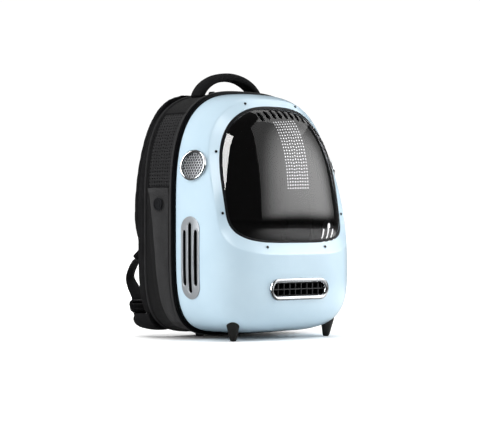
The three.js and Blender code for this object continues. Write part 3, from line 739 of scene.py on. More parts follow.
def onSide(forward, height):  # half width of the dome at a distance forward and a height
    egg = domeSection(forward, 0.0)
    power, half = eggHalf(egg, height >= egg["widest"])
    return egg["halfWidth"] * (1 - (np.abs(height - egg["widest"]) / half) ** power) ** (1 / power)


def windowDrop(angle, part):
    sunk = outline["sunk"]
    up = np.maximum(0, np.sin(angle)) ** 2
    power = sunk["sidePower"] + (sunk["topPower"] - sunk["sidePower"]) * up
    return sunk["edge"] * part ** power - sunk["crown"] * up * part ** 2


def sidePlacement(forward, height, reach=6):  # local Z out of the left side, local Y up, in frame metres
    def spot(f, h):
        return Vector((-float(onSide(f, h)), -f, h))
    along = spot(forward + reach, height) - spot(forward - reach, height)
    upward = spot(forward, height + reach) - spot(forward, height - reach)
    outward = along.cross(upward).normalized()
    if outward.x > 0:
        outward.negate()
    up = (Vector((0, 0, 1)) - outward * outward.z).normalized()
    across = up.cross(outward)
    place = Matrix((across, up, outward)).transposed().to_4x4()
    middle = spot(forward, height)
    place.translation = Vector((middle.x * mm, middle.y * mm + shiftY, middle.z * mm))
    return place


def sideNormal(forward, height, step=0.5):  # out of the left side at many places
    alongF = np.stack([-(onSide(forward + step, height) - onSide(forward - step, height)),
                       np.full_like(forward, -2 * step), np.zeros_like(forward)], axis=-1)
    alongH = np.stack([-(onSide(forward, height + step) - onSide(forward, height - step)),
                       np.zeros_like(forward), np.full_like(forward, 2 * step)], axis=-1)
    normal = np.cross(alongH, alongF)
    normal *= np.where(normal[:, :1] > 0, -1, 1)
    return normal / np.linalg.norm(normal, axis=1, keepdims=True)


def stepLengths(path):
    return np.linalg.norm(np.diff(path, axis=0), axis=1)


def pathLengths(path):  # length along the path at each of its points
    return np.concatenate([[0], np.cumsum(stepLengths(path))])


def pathPoints(path, stations):  # points of a path at the given lengths
    lengths = pathLengths(path)
    return np.stack([np.interp(stations, lengths, path[:, k]) for k in range(3)], axis=-1)


# moulded front

frontShell = {"around": 300, "along": 60, "wall": 3.0, "lipStep": 1.0, "softCrease": 3, "nearCrease": 6.0,
              "inside": 0.2, "domePoints": 160, "bandPoints": 40, "gather": 3, "spacing": 0.45,
              "sideShare": 0.62, "creaseShare": 0.26, "end": 0.9999}


def shellPaths(angles):
    rimX, rimZ = eggPoint(outline["rim"], angles)
    foldX, foldZ = eggPoint(outline["crease"], angles)
    lipX, lipZ = eggPoint(outline["opening"], angles)
    part = np.linspace(0, 1, frontShell["domePoints"])[None, :] ** frontShell["gather"]
    x = rimX[:, None] + (foldX - rimX)[:, None] * part
    z = rimZ[:, None] + (foldZ - rimZ)[:, None] * part
    y = -onDome(x, z)
    y[:, 0] = 0
    dome = np.stack([x, y, z], axis=-1)
    lipY = -onDome(lipX, lipZ, windowDrop(angles, 1.0) - frontShell["lipStep"])
    low = np.stack([lipX, lipY, lipZ], axis=-1)
    ramp = np.linspace(0, 1, frontShell["bandPoints"])[1:]
    band = dome[:, -1:, :] + (low[:, None, :] - dome[:, -1:, :]) * ramp[None, :, None]
    return dome, band


def smoothed(path, reach):
    kernel = np.exp(-0.5 * (np.arange(-3 * reach, 3 * reach + 1) / reach) ** 2)
    kernel /= kernel.sum()
    before = 2 * path[:1] - path[3 * reach:0:-1]
    after = 2 * path[-1:] - path[-2:-3 * reach - 2:-1]
    padded = np.concatenate([before, path, after])
    return np.stack([np.convolve(padded[:, k], kernel, mode="valid") for k in range(3)], axis=-1)


def shellTable():  # rows of points from the rim over the crease to the lip, one row for each angle
    s = frontShell
    angles = np.linspace(0, 2 * math.pi, s["around"] + 1)[:-1]
    domes, bands = shellPaths(angles)
    near, steps = s["nearCrease"], s["along"]
    rows = []
    for dome, band in zip(domes, bands):
        path = np.concatenate([dome, band])
        whole, crease = stepLengths(path).sum(), stepLengths(dome).sum()
        even = pathPoints(path, np.linspace(0, whole, int(whole / s["spacing"])))
        soft = smoothed(even, s["softCrease"])
        soft[0], soft[-1] = even[0], even[-1]
        first = np.linspace(0, crease - near, int(steps * s["sideShare"]))
        fold = np.linspace(crease - near, crease + near, int(steps * s["creaseShare"]))[1:]
        last = np.linspace(crease + near, whole, steps + 1 - len(first) - len(fold) + 1)[1:]
        rows.append(pathPoints(soft, np.concatenate([first, fold, last]) * s["end"]))
    rows.append(rows[0])
    return np.array(rows)


def stadiumPoint(width, tall, turn):  # outline of a long shape with round ends, turn from 0 to 1
    radius = min(width, tall) / 2
    reach = max(width, tall) / 2 - radius
    straight, bend = 2 * reach, math.pi * radius
    run = (turn % 1.0) * (2 * straight + 2 * bend)
    along = np.select(
        [run < straight, run < straight + bend, run < 2 * straight + bend],
        [-reach + run, reach + radius * np.sin((run - straight) / radius), reach - (run - straight - bend)],
        -reach - radius * np.sin((run - 2 * straight - bend) / radius))
    side = np.select(
        [run < straight, run < straight + bend, run < 2 * straight + bend],
        [np.full_like(run, -radius), -radius * np.cos((run - straight) / radius), np.full_like(run, radius)],
        radius * np.cos((run - 2 * straight - bend) / radius))
    return (along, side) if width >= tall else (side, along)


def circlePoint(radius):
    return lambda turn: (radius * np.cos(2 * math.pi * turn), radius * np.sin(2 * math.pi * turn))


def placed(piece, place):
    piece.data.transform(place)
    tidyMesh(piece)
    return piece


def tube(name, outlineAt, low, high, place, corners=64):
    def spot(turn, level):
        x, y = outlineAt(turn)
        return np.stack([x * mm, y * mm, (low + (high - low) * level) * mm], axis=-1)
    piece = wrapGrid(name, corners, 1, spot)
    capHoles(piece)
    piece.data.transform(place)
    return piece


roundVent = {"forward": 35, "height": 293, "ring": 26.5, "hole": 22.2}
slotPlate = {"forward": 36, "height": 139, "width": 44, "length": 138, "low": -0.8, "proud": 1.6,
             "hole": (36, 130), "slots": [(0, 8, 119), (-13.5, 8, 94), (13.5, 8, 94)], "edge": 0.7}
frontVent = {"height": 86, "width": 134, "tall": 37, "inWidth": 119, "inTall": 21, "hole": (124, 27)}
holeReach = 25  # the cutters go this far through the shell, either way
plateReach = 9  # and this far through a plate or a grid

ventLeft = sidePlacement(roundVent["forward"], roundVent["height"])
plateLeft = sidePlacement(slotPlate["forward"], slotPlate["height"])
ventFront = Matrix(((1, 0, 0, 0), (0, 0, -1, -outline["apex"]["forward"] * mm + shiftY),
                    (0, 1, 0, frontVent["height"] * mm), (0, 0, 0, 1)))


def makeShell():
    table = shellTable()
    columns, rows = table.shape[0] - 1, table.shape[1] - 1

    def spot(u, v):
        points = table[np.rint(u * columns).astype(int), np.rint(v * rows).astype(int)]
        return toFrame(points[:, 0], points[:, 1], points[:, 2])
    shell = wrapGrid("frontShell", columns, rows, spot)
    faceAwayFrom(shell, bodyMiddle)
    thicken(shell, frontShell["wall"])
    cutters = [
        tube("ventHole", circlePoint(roundVent["hole"]), -holeReach, holeReach, ventLeft),
        tube("plateHole", lambda t: stadiumPoint(*slotPlate["hole"], t), -holeReach, holeReach, plateLeft)]
    cutters += [copyPiece(c, c.name + "Right", mirrorX) for c in cutters]
    cutters.append(tube("frontHole", lambda t: stadiumPoint(*frontVent["hole"], t),
                        -holeReach, holeReach, ventFront))
    cutAway(shell, joinPieces("shellHoles", cutters))
    finishPiece(shell, "shell", "shell_plastic", "front_shell", smooth=40)

    def facesIn(face):  # painted shade: the inner faces get a dark finish, standing in for the shaded inside
        return face.normal.dot((face.center - Vector(bodyMiddle)).normalized()) < frontShell["inside"]
    refinish(shell, "paintedShade", facesIn)


makeShell()
print("moulded front done")


# smoked window, its gasket and screws

pane = {"cells": 104, "wall": 2.5, "gap": 4.2, "middle": 262, "cutFrom": 10, "cutTo": 220, "corners": 20,
        "margin": 1, "wallFacing": 0.35, "paintedGlowFacing": -0.5}
airSlots = {"count": 8, "pitch": 13.6, "width": 7.6, "tall": 15.4, "height": 381.7, "fall": 0.0024}
cornerSlots = {"count": 3, "first": 62, "pitch": 13, "width": 4, "tall": 17, "height": 179}


def discFromSquare(u, v):  # square grid to angle and part of the way out, with no pole
    a, b = 2 * u - 1, 2 * v - 1
    wide = np.abs(a) > np.abs(b)
    part = np.where(wide, np.abs(a), np.abs(b))
    safeA, safeB = np.where(a == 0, 1e-9, a), np.where(b == 0, 1e-9, b)
    angle = np.where(wide, math.pi / 4 * b / safeA + np.where(a < 0, math.pi, 0),
                     math.pi / 2 - math.pi / 4 * a / safeB + np.where(b < 0, math.pi, 0))
    return angle, part


def paneSpot(u, v):
    angle, part = discFromSquare(u, v)
    x, z = eggPoint(grown(outline["opening"], -pane["gap"]), angle)
    x, z = x * part, pane["middle"] + (z - pane["middle"]) * part
    return toFrame(x, -onDome(x, z, windowDrop(angle, part)), z)


def makePane():
    a, c = airSlots, cornerSlots
    glass = wrapGrid("windowPane", pane["cells"], pane["cells"], paneSpot)
    faceAwayFrom(glass, bodyMiddle)
    thicken(glass, pane["wall"])
    airX = [(i - (a["count"] - 1) / 2) * a["pitch"] for i in range(a["count"])]
    places = [(x, a["height"] - a["fall"] * x * x, a) for x in airX]
    places += [(c["first"] + i * c["pitch"], c["height"], c) for i in range(c["count"])]
    cutters = []
    for x, z, slot in places:
        place = Matrix(((1, 0, 0, x * mm), (0, 0, -1, shiftY), (0, 1, 0, z * mm), (0, 0, 0, 1)))
        cutters.append(tube("slotCutter", lambda t: stadiumPoint(slot["width"], slot["tall"], t),
                            pane["cutFrom"], pane["cutTo"], place, pane["corners"]))
    cutAway(glass, joinPieces("paneSlots", cutters))
    finishPiece(glass, "pane", "smoked_window", "window", smooth=40)
    reach = c["first"] + c["count"] * c["pitch"]
    half = a["count"] * a["pitch"] / 2

    def inCorner(face):
        x, z = face.center.x / mm, face.center.z / mm
        return c["first"] - c["width"] < x < reach and abs(z - c["height"]) < c["tall"] / 2 + pane["margin"]

    def slotWall(face):
        x, z = face.center.x / mm, face.center.z / mm
        top = abs(x) < half and abs(z - a["height"] + a["fall"] * x * x) < a["tall"] / 2 + pane["margin"]
        return (top or inCorner(face)) and abs(face.normal.y) < pane["wallFacing"]

    def paintedGlowWall(face):
        return slotWall(face) and inCorner(face) and face.normal.x < pane["paintedGlowFacing"]
    refinish(glass, "paintedShade", slotWall)  # painted shade: the slot walls get the dark finish
    refinish(glass, "paintedGlowEdge", paintedGlowWall)  # but the milled outer walls of the corner slots glow white: painted light


def eachOffset(u, inward, outlineAt):  # points of an outline, each with its own offset inwards
    x, y = np.zeros_like(u), np.zeros_like(u)
    for step in {float(i) for i in inward}:
        some = inward == step
        x[some], y[some] = outlineAt(u[some], step)
    return x, y


def profileRow(table, v):  # the two columns of a closed profile at each grid point
    return table[np.rint(v * len(table)).astype(int) % len(table)].T


gasketRing = {"around": 240, "lift": 0.7, "gap": 0.3, "profile": [  # in from the opening, depth
    (0, 4.2), (0, 0.9), (0.35, 0.2), (1.1, -0.1), (2.5, -0.1), (3.25, 0.2), (3.6, 0.9), (3.6, 4.2)]}


def makeGasket():
    g = gasketRing
    table = np.array(g["profile"])

    def outlineAt(angle, step):
        return eggPoint(grown(outline["opening"], -g["gap"] - step), angle)

    def spot(u, v):
        angle = 2 * math.pi * u
        inward, deep = profileRow(table, v)
        x, z = eachOffset(angle, inward, outlineAt)
        return toFrame(x, -onDome(x, z, windowDrop(angle, 1.0) - g["lift"] + deep), z)
    ring = wrapGrid("windowGasket", g["around"], len(table), spot)
    return finishPiece(ring, "gasket", "gasket_rubber", "window_gasket", smooth=60)


makePane()
makeGasket()

windowScrew = {"radius": 2.4, "tall": 1.5, "lift": 0.2, "sides": 24, "edge": 0.7, "slot": (3.0, 0.8, 0.9),
               "turn": 0.4, "step": 0.02,  # places: angle round the window, way to the opening
               "places": [(71.4, 0.33), (33.9, 0.7), (-6.5, 0.66), (-46.8, 0.58)]}


def onBand(angle, part):
    outX, outZ = eggPoint(outline["crease"], angle)
    inX, inZ = eggPoint(outline["opening"], angle)
    inY = -float(onDome(inX, inZ, windowDrop(angle, 1.0) - frontShell["lipStep"]))
    outer = Vector((float(outX), -float(onDome(outX, outZ)), float(outZ)))
    return outer.lerp(Vector((float(inX), inY, float(inZ))), part)


def makeScrews():
    w = windowScrew
    deselectAll()
    bpy.ops.mesh.primitive_cylinder_add(vertices=w["sides"], radius=w["radius"] * mm, depth=w["tall"] * mm,
                                        location=(0, 0, w["tall"] / 2 * mm))
    head = applyPlace()
    roundEdges(head, w["edge"], 3)
    for turn in (w["turn"], w["turn"] + math.pi / 2):
        bpy.ops.mesh.primitive_cube_add(size=1, location=(0, 0, w["tall"] * mm), rotation=(0, 0, turn))
        bar = bpy.context.object
        bar.scale = tuple(s * mm for s in w["slot"])
        applyPlace()
        cutAway(head, bar)
    for index, (degrees, part) in enumerate(w["places"]):
        angle = math.radians(degrees)
        along = onBand(angle + w["step"], part) - onBand(angle - w["step"], part)
        outward = along.cross(onBand(angle, 1) - onBand(angle, 0)).normalized()
        middle = onBand(angle, part) + outward * w["lift"]
        place = outward.to_track_quat("Z", "Y").to_matrix().to_4x4()
        place.translation = Vector((middle.x * mm, middle.y * mm + shiftY, middle.z * mm))
        right = copyPiece(head, f"windowScrew{index * 2 + 2}", place)
        left = copyPiece(head, f"windowScrew{index * 2 + 1}", mirrorX @ place)
        finishPiece(left, "screw", "screw_black", f"window_screw_{index * 2 + 1}")
        finishPiece(right, "screw", "screw_black", f"window_screw_{index * 2 + 2}")
    dropPiece(head)


makeScrews()
print("window, gasket and screws done")


# vents and plates

def ringFrom(name, around, profile, outlineAt):  # closed profile (inwards, height) round an outline
    table = np.array(profile)

    def spot(u, v):
        inward, high = profileRow(table, v)
        x, y = eachOffset(u, inward, outlineAt)
        return np.stack([x * mm, y * mm, high * mm], axis=-1)
    return wrapGrid(name, around, len(table), spot)


ventRing = {"around": 96, "profile": [  # in from the outside, height
    (0.4, -1.6), (0.0, 0.4), (0.1, 2.4), (0.7, 3.6), (1.6, 4.3), (2.4, 4.5),
    (3.2, 4.2), (4.2, 3.2), (5.1, 2.0), (5.5, 0.8), (5.5, -5.4), (4.9, -5.6), (4.7, -1.8)]}


def makeVentRings():
    ring = ringFrom("ventRing", ventRing["around"], ventRing["profile"],
                    lambda turn, inward: circlePoint(roundVent["ring"] - inward)(turn))
    placed(ring, ventLeft)
    finishPair(ring, "ventRing", "bright", "bright_metal", "vent_ring", smooth=50)


# the disc behind the grille is painted shade: a dark finish where the inside is in shade
perforated = {"pitch": 5.2, "hole": 2.27, "sides": 12, "grow": 1.4, "overlap": 0.6, "thick": 0.5, "sink": 0.6,
              "radius": 20.9, "around": 96, "cut": 5, "crown": 1.6, "shadeDisc": (20.6, -3.4, -2.8)}


def makeCell():  # one hole and the hexagon that it sits in
    hole, pitch = perforated["hole"] * mm, perforated["pitch"] * mm
    grow = perforated["grow"]
    deselectAll()
    bpy.ops.mesh.primitive_circle_add(vertices=perforated["sides"], radius=hole, fill_type="NOTHING")
    cell = bpy.context.object
    bpy.ops.object.mode_set(mode="EDIT")
    bpy.ops.mesh.select_all(action="SELECT")
    bpy.ops.mesh.extrude_edges_move()
    bpy.ops.transform.resize(value=(grow, grow, grow))
    bpy.ops.object.mode_set(mode="OBJECT")
    for vertex in cell.data.vertices:  # the outer ring goes to the hexagon
        if vertex.co.length > hole * (1 + grow) / 2:
            turn = math.atan2(vertex.co.y, vertex.co.x)
            from30 = (turn + math.pi / 6) % (math.pi / 3) - math.pi / 6
            vertex.co = Vector((math.cos(turn), math.sin(turn), 0)) * (pitch / 2 / math.cos(from30))
    return cell


def makeGrilles():
    p = perforated
    pitch = p["pitch"] * mm
    cell = makeCell()
    count = int(p["radius"] / p["pitch"]) + 2
    cells = []
    for row in range(-count, count + 1):
        for column in range(-count, count + 1):
            x = (column + row * 0.5) * pitch
            y = row * pitch * math.sqrt(3) / 2
            if math.hypot(x, y) < p["radius"] * mm + pitch * p["overlap"]:
                cells.append(copyPiece(cell, "cell", Matrix.Translation((x, y, 0))))
    dropPiece(cell)
    disc = joinPieces("ventGrille", cells)
    tidyMesh(disc)
    addModifier(disc, "SOLIDIFY", thickness=p["thick"] * mm, offset=0)
    edge = tube("discEdge", circlePoint(p["radius"]), -p["cut"], p["cut"], Matrix.Identity(4), p["around"])
    cutAway(disc, edge, "INTERSECT")
    points = getPoints(disc)
    far = np.hypot(points[:, 0], points[:, 1]) / (p["radius"] * mm)
    points[:, 2] += (p["crown"] * (1 - far ** 2) - p["sink"]) * mm
    setPoints(disc, points)
    placed(disc, ventLeft)
    front = len(disc.data.polygons)
    radius, low, high = p["shadeDisc"]
    shadeDisc = tube("ventBacking", circlePoint(radius), low, high, ventLeft)
    disc = joinPieces("ventGrille", [disc, shadeDisc])
    for piece in finishPair(disc, "ventGrille", "grille", "silver_metal", "vent_grille", smooth=30):
        refinish(piece, "paintedShade", lambda face: face.index >= front)  # painted shade: a dark disc behind the grille stands for the shaded inside


def makeSlotPlates():
    s = slotPlate
    flat = Matrix.Identity(4)
    plate = tube("slotPlate", lambda t: stadiumPoint(s["width"], s["length"], t),
                 s["low"], s["proud"], flat, 120)
    cutters = [tube("plateSlot", lambda t: stadiumPoint(wide, long, t), -plateReach, plateReach,
                    Matrix.Translation((x * mm, 0, 0)), 40) for x, wide, long in s["slots"]]
    cutAway(plate, joinPieces("plateSlots", cutters))
    roundEdges(plate, s["edge"], 3, 40)
    points = getPoints(plate) / mm  # laid over the curve of the shell
    forward, height = s["forward"] + points[:, 0], s["height"] + points[:, 1]
    outward = sideNormal(forward, height)
    base = np.stack([-onSide(forward, height), -forward, height], axis=-1) + outward * points[:, 2:3]
    setPoints(plate, toFrame(base[:, 0], base[:, 1], base[:, 2]))
    tidyMesh(plate)
    finishPair(plate, "slotPlate", "silver", "silver_metal", "slot_plate", smooth=35)


frontBezel = {"around": 160, "profile": [  # in from the outside, height
    (0.3, -2.4), (0.0, 0.6), (0.3, 2.2), (1.2, 3.5), (2.6, 4.0), (4.4, 3.8), (6.0, 2.9),
    (7.2, 1.6), (7.75, 0.2), (7.75, -5.6), (7.1, -5.8), (5.4, -2.6)]}
frontGrid = {"columns": 9, "rows": 2, "bar": 1.6, "thick": 2.6, "sink": 3.0, "edge": 0.4, "play": 0.6,
             "around": 96}


def makeFrontVent():
    f, g = frontVent, frontGrid
    bezel = ringFrom("frontVentBezel", frontBezel["around"], frontBezel["profile"],
                     lambda turn, inward: stadiumPoint(f["width"] - 2 * inward, f["tall"] - 2 * inward, turn))
    placed(bezel, ventFront)
    finishPiece(bezel, "bright", "bright_metal", "front_vent_bezel", smooth=50)
    bars = openGrid("frontVentGrid", g["columns"], g["rows"],
                    f["inWidth"] * mm, f["inTall"] * mm, g["bar"] / 2 * mm)
    addModifier(bars, "SOLIDIFY", thickness=g["thick"] * mm, offset=0)
    roundEdges(bars, g["edge"], 2, 40)
    edge = tube("gridEdge", lambda t: stadiumPoint(f["inWidth"] - g["play"], f["inTall"] - g["play"], t),
                -plateReach, plateReach, Matrix.Identity(4), g["around"])
    cutAway(bars, edge, "INTERSECT")
    placed(bars, ventFront @ Matrix.Translation((0, 0, -g["sink"] * mm)))
    finishPiece(bars, "grid", "grid_plastic", "front_vent_grid", smooth=35)


makeVentRings()
makeGrilles()
makeSlotPlates()
makeFrontVent()
print("vents and plates done")


# feet

def refineNode(node, name, edge):  # a copy of a solid, with flat faces made whole and edges rounded
    piece = copyPiece(bpy.data.objects[node], name, Matrix.Identity(4))
    for key in list(piece.keys()):
        del piece[key]
    piece.hide_render = False
    tidyMesh(piece, recalculate=False)
    addModifier(piece, "DECIMATE", decimate_type="DISSOLVE", angle_limit=math.radians(2))
    roundEdges(piece, edge, 3, 40)
    return piece


frontFoot = {"x": 108, "forward": 83, "lean": 0.06, "sides": 48, "gap": 0.2, "profile": [  # radius, height
    (0.01, 0), (2.6, 0), (4.0, 0.25), (5.0, 1.0), (5.7, 2.3), (6.2, 4), (6.8, 6.4), (8.0, 12), (9.7, 20),
    (11.5, 28), (13.6, 42), (0.01, 42)]}
rearStud = {"edge": 1.4}
domeBody = {"around": 160, "along": 60, "gather": 0.6}


def closedDome(grow):  # the dome as a closed body, larger by an amount
    def spot(u, v):
        forward = v ** domeBody["gather"] * (outline["apex"]["forward"] + grow)
        x, z = eggPoint(domeSection(forward, -grow), 2 * math.pi * u)
        return toFrame(x, -forward, z)
    body = wrapGrid("domeBody", domeBody["around"], domeBody["along"], spot)
    capHoles(body)
    return body


def makeFeet():
    f = frontFoot
    table = np.array(f["profile"])

    def spot(u, v):
        radius, height = table[np.rint(v * (len(table) - 1)).astype(int)].T
        x = -f["x"] - f["lean"] * height + radius * np.cos(2 * math.pi * u)
        y = -f["forward"] - f["lean"] * height + radius * np.sin(2 * math.pi * u)
        return toFrame(x, y, height)
    foot = wrapGrid("footFront", f["sides"], len(table) - 1, spot)
    capHoles(foot)
    cutAway(foot, closedDome(f["gap"]))
    finishPair(foot, "footFront", "foot", "foot_rubber", "foot_front", smooth=50)
    for side in ("left", "right"):
        stud = refineNode(f"foot_rear_{side}", f"footRear{side.title()}", rearStud["edge"])
        finishPiece(stud, "foot", "foot_rubber", f"foot_rear_{side}", smooth=60)


makeFeet()
print("feet done")


# moulded edge, zip and fabric wall

def rimPoint(angle, grow):  # outline of the rim made larger by a different amount at each point
    rim = outline["rim"]
    across, up = np.cos(angle), np.sin(angle)
    power, half = eggHalf(rim, up >= 0)
    wide, half = rim["halfWidth"] + grow, half + grow
    radius = ((np.abs(across) / wide) ** power + (np.abs(up) / half) ** power) ** (-1 / power)
    return radius * across, rim["widest"] + radius * up


def rimLengths(angles, grow=0.0):
    x, z = rimPoint(angles, grow)
    return np.concatenate([[0], np.cumsum(np.hypot(np.diff(x), np.diff(z)))])


rimLength = rimLengths(np.linspace(0, 2 * math.pi, 721))[-1] * mm


def ridgeRing(name, around, profile):  # closed profile (outside the rim, behind it) carried round
    table = np.array(profile)

    def spot(u, v):
        grow, back = profileRow(table, v)
        x, z = rimPoint(2 * math.pi * u, grow)
        return toFrame(x, back, z)
    return wrapGrid(name, around, len(table), spot, (rimLength, 0.05))


rimTrim = {"around": 240, "bead": 7.0, "profile": [  # outside the rim, behind it
    (-2.4, 0.5), (2.4, 0.4), (3.8, 0.9), (4.7, 2.3), (4.9, 3.7), (4.3, 4.5), (3.7, 5.0), (3.6, 6.4),
    (4.4, 6.8), (5.8, 7.2), (6.3, 8.6), (6.2, 11.0), (5.4, 12.2), (1.4, 12.4), (-2.4, 12.4)]}
zipTeeth = {"pitch": 2.1, "wide": 2.4, "long": 1.25, "tall": 1.0, "edge": 0.3, "back": 5.7, "grow": 4.2,
            "sway": 0.35, "samples": 2881, "step": 0.004}


def makeTrim():
    trim = ridgeRing("rimTrim", rimTrim["around"], rimTrim["profile"])
    subdivide(trim, 1)
    finishPiece(trim, "trim", "trim_plastic", "rim_trim", smooth=50)
    # the bead behind the zip is covered with cloth
    refinish(trim, "grey", lambda face: face.center.y - shiftY > rimTrim["bead"] * mm)


def makeZip():
    t = zipTeeth
    deselectAll()
    bpy.ops.mesh.primitive_cube_add(size=1)
    tooth = bpy.context.object
    tooth.scale = (t["wide"] * mm, t["long"] * mm, t["tall"] * mm)
    applyPlace()
    roundEdges(tooth, t["edge"], 1)
    fine = np.linspace(0, 2 * math.pi, t["samples"])
    lengths = rimLengths(fine, t["grow"])
    count = int(lengths[-1] / t["pitch"])
    angles = np.interp(np.arange(count) * lengths[-1] / count, lengths, fine)
    teeth = []
    for i, angle in enumerate(angles):
        here, ahead = (np.array(rimPoint(a, t["grow"])) for a in (angle - t["step"], angle + t["step"]))
        along = Vector((ahead[0] - here[0], 0, ahead[1] - here[1])).normalized()
        out = Vector((0, 1, 0)).cross(along) * -1
        place = Matrix((Vector((0, 1, 0)), along, out)).transposed().to_4x4()
        middle = (here + ahead) / 2
        sway = t["sway"] if i % 2 else -t["sway"]
        place.translation = toFrame(middle[0], t["back"] + sway, middle[1])
        teeth.append(copyPiece(tooth, "tooth", place))
    dropPiece(tooth)
    chain = joinPieces("zipChain", teeth)
    tidyMesh(chain)
    finishPiece(chain, "buckle", "buckle_plastic", smooth=40)


fabricWall = {"front": 12.8, "rear": 77.5, "outside": 1.0, "wall": 2.2, "pucker": 0.35, "turned": 11,
              "shadeLow": 30, "shadeRear": 48, "shadePower": 1.4, "around": (150, 26, 56, 26),
              "along": (4, 23, 6), "seamRows": 3,
              "waves": ((23, 0.11, 0), (9, -0.05, 1.3))}
netWindow = {"from": 126, "to": 164.2, "front": 15, "rear": 74, "margin": 0.15, "ease": 0.3, "slack": 0.0002}


def wallGrid():  # angles and distances behind the rim, with grid lines on the edges of the nets
    f, n = fabricWall, netWindow
    low, high = n["from"] - n["margin"], n["to"] + n["margin"]
    marks = [high, 540 - high, 540 - low, 360 + low, 360 + high]  # from the left net's lower edge, all round
    spans = [np.linspace(a, b, c + 1)[:-1] for a, b, c in zip(marks, marks[1:], f["around"])]
    fore, aft = n["front"] - n["ease"], n["rear"] + n["ease"]
    first, middle, last = f["along"]
    backs = np.concatenate([np.linspace(f["front"], fore, first)[:-1], np.linspace(fore, aft, middle)[:-1],
                            np.linspace(aft, f["rear"], last), [f["rear"]] * f["seamRows"]])
    return np.concatenate([*spans, [marks[-1]]]), backs, low, high


def makeFabricWall():
    f, n = fabricWall, netWindow
    angles, backs, low, high = wallGrid()
    seam = np.linspace(0, f["turned"], f["seamRows"] + 1)[1:]
    turned = np.concatenate([np.zeros(len(backs) - f["seamRows"]), seam])  # folded inwards at the rear

    def spot(u, v):
        angle = np.radians(angles[np.rint(u * (len(angles) - 1)).astype(int)])
        row = np.rint(v * (len(backs) - 1)).astype(int)
        back = backs[row]
        middle = np.sin(math.pi * (back - f["front"]) / (f["rear"] - f["front"]))
        first, second = (np.sin(angle * a + back * b + c) for a, b, c in f["waves"])
        grow = f["outside"] - f["pucker"] + f["pucker"] * (first * second * middle) - turned[row]
        x, z = rimPoint(angle, grow)
        return toFrame(x, back, z)
    deep = (f["rear"] - f["front"] + f["turned"]) * mm
    wall = wrapGrid("fabricWall", len(angles) - 1, len(backs) - 1, spot, (rimLength, deep))
    faceAwayFrom(wall, bodyMiddle)
    netLow, netHigh = (float(rimPoint(math.radians(a), f["outside"])[1]) * mm for a in (high, low))
    fore, aft = n["front"] * mm + shiftY - n["slack"], n["rear"] * mm + shiftY + n["slack"]
    pickFaces(wall, lambda face: fore < face.center.y < aft and netLow < face.center.z < netHigh)
    bpy.ops.mesh.delete(type="FACE")
    bpy.ops.object.mode_set(mode="OBJECT")
    thicken(wall, f["wall"])
    finishPiece(wall, "grey", "grey_fabric", "gusset", smooth=50)

    def tapeAndShadeFaces(face):  # darker tape over the top and along the rear edge; below the net the dark band widens where the panel narrows, painted shade where it turns away
        fall = np.clip((netLow - face.center.z) / (netLow - f["shadeLow"] * mm), 0, 1)
        limit = n["rear"] - (n["rear"] - f["shadeRear"]) * fall ** f["shadePower"]
        return face.center.y - shiftY > limit * mm or face.center.z > netHigh
    refinish(wall, "tapeAndShade", tapeAndShadeFaces)


netCloth = {"columns": 9, "rows": 23, "barAcross": 1.5, "barUp": 1.9, "wall": 0.9, "outside": 0.7,
            "wave": 1.0, "waves": ((0.31, 0.05), (0.23, -0.07))}


def makeNets():
    c, n = netCloth, netWindow
    fine = np.radians(np.linspace(n["from"], n["to"], 200))
    lengths = rimLengths(fine, c["outside"])
    deep, tall = n["rear"] - n["front"], lengths[-1]
    # made in units of the bars, so that one inset gives both widths
    net = openGrid("sideNetLeft", c["columns"], c["rows"], deep / c["barUp"], tall / c["barAcross"], 1.0)
    flat = getPoints(net)
    back = n["front"] + (flat[:, 0] * c["barUp"] / deep + 0.5) * deep
    along = (flat[:, 1] * c["barAcross"] / tall + 0.5) * tall
    inside = np.sin(math.pi * (back - n["front"]) / deep) * np.sin(math.pi * along / tall)
    (a, b), (d, e) = c["waves"]
    along, back = (along + c["wave"] * inside * np.sin(back * a + along * b),
                   back + c["wave"] * inside * np.sin(along * d + back * e))
    x, z = rimPoint(np.interp(along, lengths, fine), c["outside"])
    setPoints(net, toFrame(x, back, z))
    tidyMesh(net)
    faceAwayFrom(net, bodyMiddle)
    thicken(net, c["wall"])
    subdivide(net, 1)
    for piece in finishPair(net, "sideNet", "net", "net_fabric", "side_mesh", smooth=60):
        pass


netBinding = {"wide": 2.6, "thick": 0.9, "corner": 3, "grow": 1.05, "around": 120, "past": 0.6, "wider": 3.0,
              "outside": 1.0, "round": 0.9, "lip": (0.1, 0.6)}


def roundedBox(wide, high, corner, turn):  # outline of a box with round corners, turn from 0 to 1
    runs = [wide - 2 * corner, corner * math.pi / 2, high - 2 * corner, corner * math.pi / 2] * 2
    ends = np.cumsum(runs)
    run = (turn % 1.0) * ends[-1]
    x, y = np.zeros_like(run), np.zeros_like(run)
    for k in range(8):
        inside = (run >= ends[k] - runs[k]) & (run <= ends[k])
        part = run[inside] - ends[k] + runs[k]
        bend = part / corner
        flip = 1 if k < 4 else -1
        if k % 4 == 0:
            px, py = -wide / 2 + corner + part, np.full_like(part, -high / 2)
        elif k % 4 == 1:
            px, py = wide / 2 - corner + corner * np.sin(bend), -high / 2 + corner - corner * np.cos(bend)
        elif k % 4 == 2:
            px, py = np.full_like(part, wide / 2), -high / 2 + corner + part
        else:
            px, py = wide / 2 - corner + corner * np.cos(bend), high / 2 - corner + corner * np.sin(bend)
        x[inside], y[inside] = flip * px, flip * py
    return x, y


